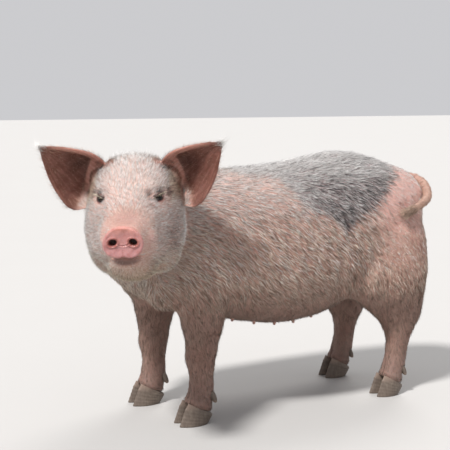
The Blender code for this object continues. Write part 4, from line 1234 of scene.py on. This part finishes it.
def coat_plan(points):
    """How dense, long and raised the coat is at each place, and how thick its hairs are."""
    local = to_head(points)
    side = mirrored(local)
    x, y, z = points.T
    head, ears, legs = part_weights(points)
    t, w, depth, _ = ear_place(points)
    cup = ears * ramp(depth, 0.0008, -0.0008) * cup_share(t, w)
    rim = ears * ramp(np.abs(w), 0.84, 0.96) * ramp(t, 0.0, 0.2)
    tip = ears * ramp(t, 0.86, 0.99)
    belly = ramp(z, 0.215, 0.175) * (1 - legs) * ramp(np.abs(x - BODY_X), 0.10, 0.07)
    muzzle = head * ramp(local[:, 1], 0.085, 0.045)
    bare = hill(side, (0.0, 0.032, 0.028), (0.026, 0.020, 0.014))
    eye = np.linalg.norm(side - EYE_CENTRE - 0.009 * unit(EYE_GAZE), axis=1)
    density = 1 - 0.45 * belly + 0.20 * ramp(z, 0.36, 0.42)
    density = density * (1 - head) + head * (3.9 - 1.7 * muzzle) * (1 - 0.5 * bare)
    band = ears * ramp(t, 0.22, 0.10) * (1 - cup)
    density = density * (1 - ears) + ears * (1.9 - 1.0 * cup + 2.0 * rim + 3.5 * tip + 1.5 * band)
    density = density * (1 - 0.1 * legs) * ramp(local[:, 1], 0.017, 0.020) * ramp(eye, 0.0080, 0.0100)
    lips, _ = near_path(side * (0, 1, 1), [(0, back, height - 0.003) for back, height in MOUTH[:3]])
    density = density * (1 - 0.8 * bell(lips, 0.004) * (local[:, 1] < 0.04))
    density = density * (1 - 0.9 * ramp(lip_share(side), 0.2, 0.8))
    rump = ramp(y, 0.19, 0.26) * ramp(z, 0.20, 0.26) * (1 - saddle_share(points))
    density = density * (1 - 0.30 * rump)
    density = density * np.where(legs > 0.5, ramp(z, 0.018, 0.026), 1)
    length = 0.0150 + 0.0024 * ramp(z, 0.38, 0.43) - 0.004 * belly
    length = length * (1 - 0.35 * rump)
    length = length * (1 - legs) + legs * (0.0072 + 0.0036 * ramp(z, 0.05, 0.14))
    face = 0.0088 - 0.0046 * muzzle - 0.0015 * bare + 0.0022 * ramp(local[:, 1], 0.12, 0.20)
    length = length * (1 - head) + head * face
    length = length * (1 - hill(side, EYE_CENTRE, (0.02, 0.02, 0.02)) * 0.35 * head)
    length = (
        length * (1 - ears)
        + ears * (0.0064 + 0.0030 * band + 0.0036 * cup + 0.0036 * rim + 0.0100 * tip)
    )
    poll = head * ramp(local[:, 1], 0.165, 0.20) * ramp(local[:, 2], 0.06, 0.085)
    lift = (
        (0.27 + 0.10 * head + 0.30 * poll + 0.22 * rim + 0.10 * cup)
        * (1 + 0.45 * np.clip(strands(points), -1, 1))
    )
    width = (
        0.00023 - 0.00008 * head - 0.00009 * ears - 0.00006 * legs + 0.00005 * saddle_share(points)
        - 0.00005 * rump
    )
    return density, length, lift, width


def coat_colour(points, draw):
    """Each hair's colour: pale bristles over pink, black and white ones mixed on the saddle, brown on
    legs and ears, with painted light on the back and painted shade low on the body, on the legs and chin
    and between the strands."""
    local = to_head(points)
    side = mirrored(local)
    _, y, z = points.T
    head, ears, legs = part_weights(points)
    t, w, depth, _ = ear_place(points)
    inside = ramp(depth, 0.0008, -0.0008)
    clump = np.clip(0.5 + 0.7 * strands(points), 0, 1)
    pick = draw.random(len(points)) * 0.5 + clump * 0.5
    rump = ramp(y, 0.19, 0.26) * ramp(z, 0.27, 0.34)
    colour = layered((0.76, 0.620, 0.510), [
        ((pick < 0.36 - 0.18 * rump) * 0.90, (0.23, 0.135, 0.095)),
        (rump * 0.4, (0.82, 0.660, 0.570)),
        ((pick > 0.66) * 0.85, (0.92, 0.860, 0.790)),
        # Whiter hair high on the body: partly paler hair, partly painted light from above.
        (0.85 * ramp(z, 0.31, 0.39) * (pick > 0.22), (0.97, 0.920, 0.890)),
        # Darker hair low on the trunk: partly browner hair, partly painted shade under the body.
        (0.6 * ramp(z, 0.28, 0.20) * (1 - head), (0.32, 0.225, 0.165)),
        (
            head * ramp(local[:, 2], -0.060, -0.010) * ramp(side[:, 0], 0.105, 0.085) * 0.88
            * (pick > 0.20),
            (0.99, 0.915, 0.865)
        ),
        (
            head * ramp(side[:, 0], 0.048, 0.060) * ramp(local[:, 2], 0.02, 0.04) * 0.6,
            (0.48, 0.345, 0.215),
        ),
        (0.8 * hill(side, (0.064, 0.186, 0.030), (0.018, 0.026, 0.030)), (0.40, 0.260, 0.175)),
        (head * 0.8 * hill(side, (0.0, 0.050, 0.028), (0.028, 0.034, 0.022)), (0.38, 0.240, 0.190)),
        # Olive-brown chin hair, darkened: partly its own colour, partly painted shade under the head.
        (0.75 * hill(side, (0.0, 0.090, -0.078), (0.055, 0.08, 0.030)), (0.36, 0.270, 0.165)),
        # Dark brown leg hair: partly its own colour, partly painted shade under the body.
        (legs * 0.85, (0.17, 0.115, 0.085)),
        (0.90 * ramp(ears, 0.05, 0.5), (0.46, 0.290, 0.215)),
        (ears * inside * 0.85 * (pick < 0.60), (0.15, 0.065, 0.042)),
        (ears * inside * 0.6 * (pick > 0.74), (0.74, 0.530, 0.380)),
        (ears * ramp(t, 0.84, 0.95), (0.92, 0.900, 0.870)),
        (ears * ramp(np.abs(w), 0.92, 1.0) * 0.85 * ramp(t, 0.1, 0.3), (0.92, 0.880, 0.840)),
    ])
    # Fewer black hairs towards the saddle's top and front, so it is paler there: the top partly painted
    # light from above.
    top = ramp(z, 0.385, 0.425)
    dark = saddle_share(points) * (0.47 - 0.35 * np.maximum(top, ramp(y, 0.13, 0.03)))
    patches = (
        (side, (0.046, 0.185, 0.086), (0.020, 0.026, 0.022), 0.55),
        (side, (0.050, 0.115, 0.048), (0.015, 0.014, 0.0065), 0.95),
        (side, (0.058, 0.134, 0.044), (0.009, 0.018, 0.007), 0.80),
        (local, (0.058, 0.115, -0.020), (0.018, 0.028, 0.026), 0.50),
        (local, (0.028, 0.104, 0.047), (0.007, 0.010, 0.008), 0.70),
        # Dark hair in the crease behind the disc's upper rim: partly grey hair, partly painted shade in
        # the crease.
        (side, (0.012, 0.024, 0.026), (0.024, 0.008, 0.008), 0.75),
    )
    for where, middle, radii, amount in patches:
        dark = np.maximum(dark, amount * head * hill(where, middle, radii))
    chosen = draw.random(len(points)) * 0.5 + (1 - clump) * 0.5 < dark
    saddle = saddle_share(points)[:, None]
    colour = colour * (1 - 0.9 * saddle) + np.array((0.94, 0.93, 0.93)) * 0.9 * saddle
    colour = np.where(chosen[:, None], (0.045, 0.040, 0.041), colour)
    # Each hair's brightness: higher on the back and head as painted light from above, lower between the
    # strands as painted shade, with a random spread.
    top = np.maximum(ramp(z, 0.33, 0.41), head)
    shade = (
        0.24 + 0.26 * top - 0.10 * head + (1.06 - 0.12 * top + 0.18 * head) * clump
        + 0.20 * draw.random(len(points))
    )
    return np.clip(colour * shade[:, None], 0.01, 0.95)


def coat_charts(points):
    """Where each root lies on an unwrap of the hide, 0 to 1 both ways, and which piece of coat it
    belongs to. Trunk and head unroll round their axes, each leg round its own, and each ear has a
    flat chart for each face."""
    local = to_head(points)
    x, y, z = points.T
    head, ears, legs = part_weights(points)
    left = x > BODY_X
    turn = np.arctan2(x - BODY_X, z - 0.30) / (2 * math.pi) + 0.5
    u, v = turn, (y + 0.25) / 0.62
    piece = np.select(
        [y < -0.115, y < -0.020, y < 0.075, y < 0.170, y < 0.255],
        ["neck", "shoulders", "ribs", "loin", "croup"],
        "rump",
    )
    on_leg = (z < 0.20) & (legs > 0)
    fore = y < 0.05
    for k, ((foot, hand), middle) in enumerate(LEG_Y.items()):
        mine = on_leg & (fore == (foot == "fore")) & (left == (hand == "left"))
        around = np.arctan2(x - BODY_X - SIDES[hand] * LEG_X[foot], y - middle) / (2 * math.pi) + 0.5
        u, v = np.where(mine, (k + 0.98 * around) / 4, u), np.where(mine, z / 0.22, v)
        piece = np.where(mine, "forelegs" if foot == "fore" else "hind_legs", piece)
    on_head = head > 0.5
    u = np.where(on_head, np.arctan2(local[:, 0], local[:, 2] + 0.005) / (2 * math.pi) + 0.5, u)
    v = np.where(on_head, local[:, 1] / 0.27, v)
    cheek = np.where(local[:, 0] > 0, "cheek_left", "cheek_right")
    piece = np.where(on_head, np.where(local[:, 1] < 0.125, "muzzle", cheek), piece)
    t, w, depth, _ = ear_place(points)
    on_ear = ears > 0.4
    quarter = (local[:, 0] > 0) * 0.5
    u = np.where(on_ear, quarter + 0.02 + 0.46 * np.clip((t + 0.2) / 1.25, 0, 1), u)
    face = np.where(depth < 0.0, 0.5, 0.0)
    v = np.where(on_ear, face + 0.02 + 0.46 * np.clip((w + 1.1) / 2.2, 0, 1), v)
    piece = np.where(on_ear, "ears", piece)
    return np.clip(np.stack([u, v], 1), 0.002, 0.996), piece


def grow(
    name, roots, normals, way, length, width, lift, tint, chart, steps=2, droop=0.40, curl=0.18, seed=0
):
    """Hairs as thin three-sided spikes. Each leaves the hide at its lift and bends towards the hide
    along its length; its rings shrink from root to tip, and its patch on the bake's map is a small
    disc about its root's place."""
    draw = np.random.default_rng(seed)
    count = len(roots)
    across = np.cross(normals, way)
    spin = draw.normal(0, curl, count)
    ring = np.arange(3) * 2 * math.pi / 3
    rows, patch = [], []
    here = roots - normals * 0.0003
    droop = 0.75 if steps == 1 else droop
    for k in range(steps + 1):
        share = k / steps
        angle = lift * (1 + (droop - 1) * share)
        heading = (
            way * np.cos(angle)[:, None] + normals * np.sin(angle)[:, None]
            + across * (spin * share)[:, None]
        )
        heading = unit(heading)
        if k:
            here = here + heading * (length / steps)[:, None]
        if k == steps:
            rows.append(here[:, None])
            patch.append(np.zeros((1, 2)))
            break
        second = unit(np.cross(heading, across))
        size = (width * (1 - 0.55 * share) if steps > 1 else width)[:, None, None]
        out = across[:, None] * np.cos(ring)[:, None] + second[:, None] * np.sin(ring)[:, None]
        rows.append(here[:, None] + out * size)
        patch.append(np.stack([np.cos(ring), np.sin(ring)], 1) * 0.0015 * (1 - 0.8 * share))
    points = np.concatenate(rows, 1)
    each = points.shape[1]
    faces = [(0, 2, 1)]
    for k in range(steps - 1):
        for a, b in ((0, 1), (1, 2), (2, 0)):
            faces += [(3 * k + a, 3 * k + b, 3 * k + 3 + b), (3 * k + a, 3 * k + 3 + b, 3 * k + 3 + a)]
    last = 3 * (steps - 1)
    faces += [(last + a, last + b, each - 1) for a, b in ((0, 1), (1, 2), (2, 0))]
    faces = (np.array(faces)[None] + np.arange(count)[:, None, None] * each).reshape(-1, 3)
    flat = points.reshape(-1, 3)
    first = flat[faces[: len(faces) // count]] - points[0].mean(0)
    if np.einsum("ij,ij->i", first[:, 0], np.cross(first[:, 1], first[:, 2])).sum() < 0:
        faces = faces[:, ::-1]
    piece = surface(name, flat, faces)
    along = np.repeat(np.linspace(0, 1, steps + 1), [3] * steps + [1])
    shade = (0.80 + 0.28 * along)[None, :, None]
    tell(piece, "tint", np.clip(tint[:, None] * shade, 0, 1).reshape(-1, 3))
    spots = (np.clip(chart, 0.002, 0.998)[:, None] + np.concatenate(patch)[None]).reshape(-1, 2)
    layer = piece.data.uv_layers.new(name="OFBake")
    layer.data.foreach_set("uv", np.ascontiguousarray(spots[faces.ravel()], np.float32).ravel())
    piece.data.materials.append(bristle)
    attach(piece, "root")
    return piece


bristle, wire, feed = finish_of("bristle", {"Specular IOR Level": 0.3})
tint = wire.add("Attribute", {"attribute_name": "tint"})
place = wire.add("TexCoord", out=3)
wear = noise(wire, place, 320.0)
feed(Base_Color=mixed(wear * 0.25, tint, (0.72, 0.62, 0.52), "MULTIPLY"), Roughness=0.34 + wear * 0.2)


def scatter(piece, count, weight, draw):
    """Random places on the piece's triangles, as many on each as its area times its weight asks
    for, with the hide's normal at each."""
    points, normals = places(piece)
    piece.data.calc_loop_triangles()
    triangles = np.empty(len(piece.data.loop_triangles) * 3, np.int32)
    piece.data.loop_triangles.foreach_get("vertices", triangles)
    triangles = triangles.reshape(-1, 3)
    corners = points[triangles]
    area = np.linalg.norm(np.cross(corners[:, 1] - corners[:, 0], corners[:, 2] - corners[:, 0]), axis=1)
    total = np.cumsum(area * weight(corners.mean(1)))
    picked = np.minimum(np.searchsorted(total / total[-1], draw.random(count)), len(triangles) - 1)
    a, b = draw.random(count), draw.random(count)
    a, b = np.where(a + b > 1, 1 - a, a), np.where(a + b > 1, 1 - b, b)
    share = np.stack([1 - a - b, a, b], 1)[..., None]
    return (corners[picked] * share).sum(1), unit((normals[triangles[picked]] * share).sum(1))


draw = np.random.default_rng(COAT_SEED)
roots, up = scatter(skin, HAIRS, lambda middles: coat_plan(middles)[0], draw)
_, length, lift, width = coat_plan(roots)
way = coat_lie(roots, up)
length = length * draw.uniform(0.60, 1.25, HAIRS)
width = width * draw.uniform(0.75, 1.35, HAIRS)
lift = lift * draw.uniform(0.4, 1.6, HAIRS)
tint = coat_colour(roots, draw)
chart, piece_names = coat_charts(roots)
for k, name in enumerate(sorted(set(piece_names.tolist()))):
    steps = 1 if name in ("muzzle", "cheek_left", "cheek_right", "ears", "forelegs", "hind_legs") else 2
    mine = np.flatnonzero(piece_names == name)
    room = MOST_TRIANGLES // (6 * steps - 2)
    left = roots[mine, 0] > BODY_X
    parts = [mine] if len(mine) <= room else [mine[~left], mine[left]]
    for label, part in zip(("",) if len(parts) == 1 else ("_right", "_left"), parts):
        part = part[:room]
        values = (all_values[part] for all_values in (roots, up, way, length, width, lift, tint, chart))
        grow("coat_" + name + label, *values, steps=steps, seed=100 + k)

# Tail hair. Short stiff bristles that lie along the tail, rooted in its skin like the coat's,
# and a loose tuft of longer ones at its end.
TAIL_HAIRS = HAIRS // 60
TAIL_HAIR_WIDTH = 0.00016
TUFT_REACH = 0.035


def tail_share(points):
    """How dense the bristles are: 1 along the tail and up to 8 at its end."""
    return 1 + 7 * ramp(np.linalg.norm(points - TAIL_LINE[-1], axis=1), TUFT_REACH, 0.0)


roots, up = scatter(tail, TAIL_HAIRS, tail_share, draw)
away = ((roots[:, None] - TAIL_LINE[None]) ** 2).sum(2)
step = away.argmin(1)
way = unit(np.gradient(TAIL_LINE, axis=0))[step]
way = unit(way - up * np.sum(way * up, 1, keepdims=True))
share = step / (len(TAIL_LINE) - 1)
end = ramp(share, 0.72, 1.0)
length = (0.0060 + 0.0170 * end) * draw.uniform(0.6, 1.2, TAIL_HAIRS)
tint = np.array((0.72, 0.530, 0.420)) * draw.uniform(0.30, 1.35, (TAIL_HAIRS, 1))
chart = np.stack([0.03 + 0.94 * share, 0.5 + np.arctan2(up[:, 2], up[:, 0]) / (2.1 * math.pi)], 1)
lift = 0.30 + 0.25 * draw.random(TAIL_HAIRS)
width = np.full(TAIL_HAIRS, TAIL_HAIR_WIDTH)
grow("coat_tail", roots, up, way, length, width, lift, tint, chart, seed=9)

# Lashes and whiskers. Pale curved lashes on the upper lids, which hang over the eyes, and
# long sparse bristles on chin, lips and brows.
LASHES = 46
LASH_WIDTH = 0.00020
LID_HAIRS = HAIRS // 300
LID_HAIR_WIDTH = 0.00014
WHISKERS = 110
WHISKER_WIDTH = 0.00015


def off_lid_edge(points, sign):
    """Where hairs stand on the lids: outside their bare edges."""
    local = (to_head(points) - EYE_CENTRE * (sign, 1, 1)) @ eye_axes(sign)
    return ramp(np.hypot(local[:, 0] / LID_HALF_LENGTH, local[:, 1] / LID_HALF_OPENING), 1.5, 1.9) + 1e-6


for side, sign in SIDES.items():
    across = np.linspace(-0.92, 0.95, LASHES) + draw.uniform(-0.02, 0.02, LASHES)
    axes = eye_axes(sign)
    a, b = LID_HALF_LENGTH * across, LID_HALF_OPENING * np.sqrt(1 - across**2) ** 0.7 + 0.0006
    reach = EYE_RADIUS + 0.0008 + draw.uniform(0, 0.0008, LASHES)
    roots = np.stack([a, b, np.sqrt(np.maximum(reach**2 - a**2 - b**2, 0))], 1)
    spread = a * 50 + draw.uniform(-0.3, 0.3, LASHES)
    out = unit(np.stack([spread, draw.uniform(-0.10, 0.35, LASHES), 0 * a + 1], 1))
    roots = from_head(EYE_CENTRE * (sign, 1, 1) + roots @ axes.T)
    way = out @ axes.T @ HEAD_AXES.T
    up = unit(axes[:, 1] @ HEAD_AXES.T - way * (way @ (axes[:, 1] @ HEAD_AXES.T))[:, None])
    black = (draw.random(LASHES) < 0.50)[:, None]
    tint = np.where(black, (0.04, 0.032, 0.028), np.array((0.92, 0.810, 0.640)))
    chart = np.stack([np.full(LASHES, 0.25 if sign > 0 else 0.75), 0.5 + 0.45 * across], 1)
    length = draw.uniform(0.0065, 0.0105, LASHES)
    lift = draw.uniform(0.0, 0.35, LASHES)
    width = np.full(LASHES, LASH_WIDTH)
    grow("lashes_" + side, roots, up, way, length, width, lift, tint, chart, steps=3, droop=-1.2, seed=11)

    lids = bpy.data.objects["lids_" + side]
    roots, up = scatter(lids, LID_HAIRS, lambda middles: off_lid_edge(middles, sign), draw)
    way = coat_lie(roots, up)
    chart, _ = coat_charts(roots)
    length = draw.uniform(0.0035, 0.0070, LID_HAIRS)
    lift = draw.uniform(0.2, 0.6, LID_HAIRS)
    tint = coat_colour(roots, draw)
    width = np.full(LID_HAIRS, LID_HAIR_WIDTH)
    grow("coat_lids_" + side, roots, up, way, length, width, lift, tint, chart, steps=1, seed=13)


def whisker_share(points):
    """Where the long bristles stand: chin, upper lips and above the eyes."""
    local = to_head(points)
    side = mirrored(local)
    chin = hill(side, (0.012, 0.045, -0.052), (0.016, 0.024, 0.010))
    lips = 0.6 * hill(side, (0.034, 0.040, -0.010), (0.008, 0.016, 0.012))
    brows = 0.5 * hill(side, (0.046, 0.116, 0.058), (0.012, 0.012, 0.006))
    return chin + lips + brows + 1e-6


roots, up = scatter(skin, WHISKERS, whisker_share, draw)
chart, _ = coat_charts(roots)
length = draw.uniform(0.008, 0.016, WHISKERS)
tint = np.where(
    (draw.random(WHISKERS) < 0.25)[:, None], (0.06, 0.05, 0.045), np.array((0.78, 0.690, 0.580))
)
lift = draw.uniform(0.5, 1.0, WHISKERS)
width = np.full(WHISKERS, WHISKER_WIDTH)
grow("whiskers", roots, up, coat_lie(roots, up), length, width, lift, tint, chart, steps=3, seed=12)

# Studio. A wide plain floor of pale plaster under a pale sky, a soft lamp above the viewer's
# left shoulder and a weaker one behind. The camera has the photograph's place and framing.
FLOOR_REACH = 20
corners = FLOOR_REACH * np.array([(-1, -1, 0), (1, -1, 0), (1, 1, 0), (-1, 1, 0)], float)
floor = surface("floor", corners, np.array([[0, 1, 2, 3]]))
plaster, wire, feed = finish_of("floor", {"Roughness": 0.9, "Specular IOR Level": 0.2})
shade = noise(wire, wire.add("TexCoord", out=3), 3.0)
feed(Base_Color=mixed(shade * 0.3, (0.46, 0.455, 0.445), (0.50, 0.495, 0.485)))
floor.data.materials.append(plaster)
world = bpy.data.worlds.new("studio")
bpy.context.scene.world = world
world.use_nodes = True
world.node_tree.nodes["Background"].inputs["Color"].default_value = (0.97, 0.97, 1.0, 1)
world.node_tree.nodes["Background"].inputs["Strength"].default_value = 0.62
bpy.context.scene.view_settings.view_transform = "Standard"
CAMERA_PLACE = Vector((1.4918, -0.7991, 0.5520))
CAMERA_TARGET = Vector((-0.2892, 0.0729, 0.2930))
camera = bpy.data.objects.new("camera", bpy.data.cameras.new("camera"))
bpy.context.scene.collection.objects.link(camera)
camera.location = CAMERA_PLACE
camera.rotation_mode = "QUATERNION"
camera.rotation_quaternion = (CAMERA_TARGET - CAMERA_PLACE).to_track_quat("-Z", "Y")
camera.data.lens = 80
camera.data.sensor_width = 36
bpy.context.scene.camera = camera
lights = (("key", (0.90, -1.65, 2.6), 4.0, 8), ("back", (-1.2, 1.4, 2.4), 1.2, 24))
for name, place, power, spread in lights:
    light = bpy.data.lights.new(name, "SUN")
    light.angle = math.radians(spread)
    light.energy = power
    light.color = (1.0, 0.975, 0.955)
    lamp = bpy.data.objects.new(name, light)
    bpy.context.scene.collection.objects.link(lamp)
    lamp.location = place
    lamp.rotation_mode = "QUATERNION"
    lamp.rotation_quaternion = (-Vector(place)).to_track_quat("-Z", "Y")
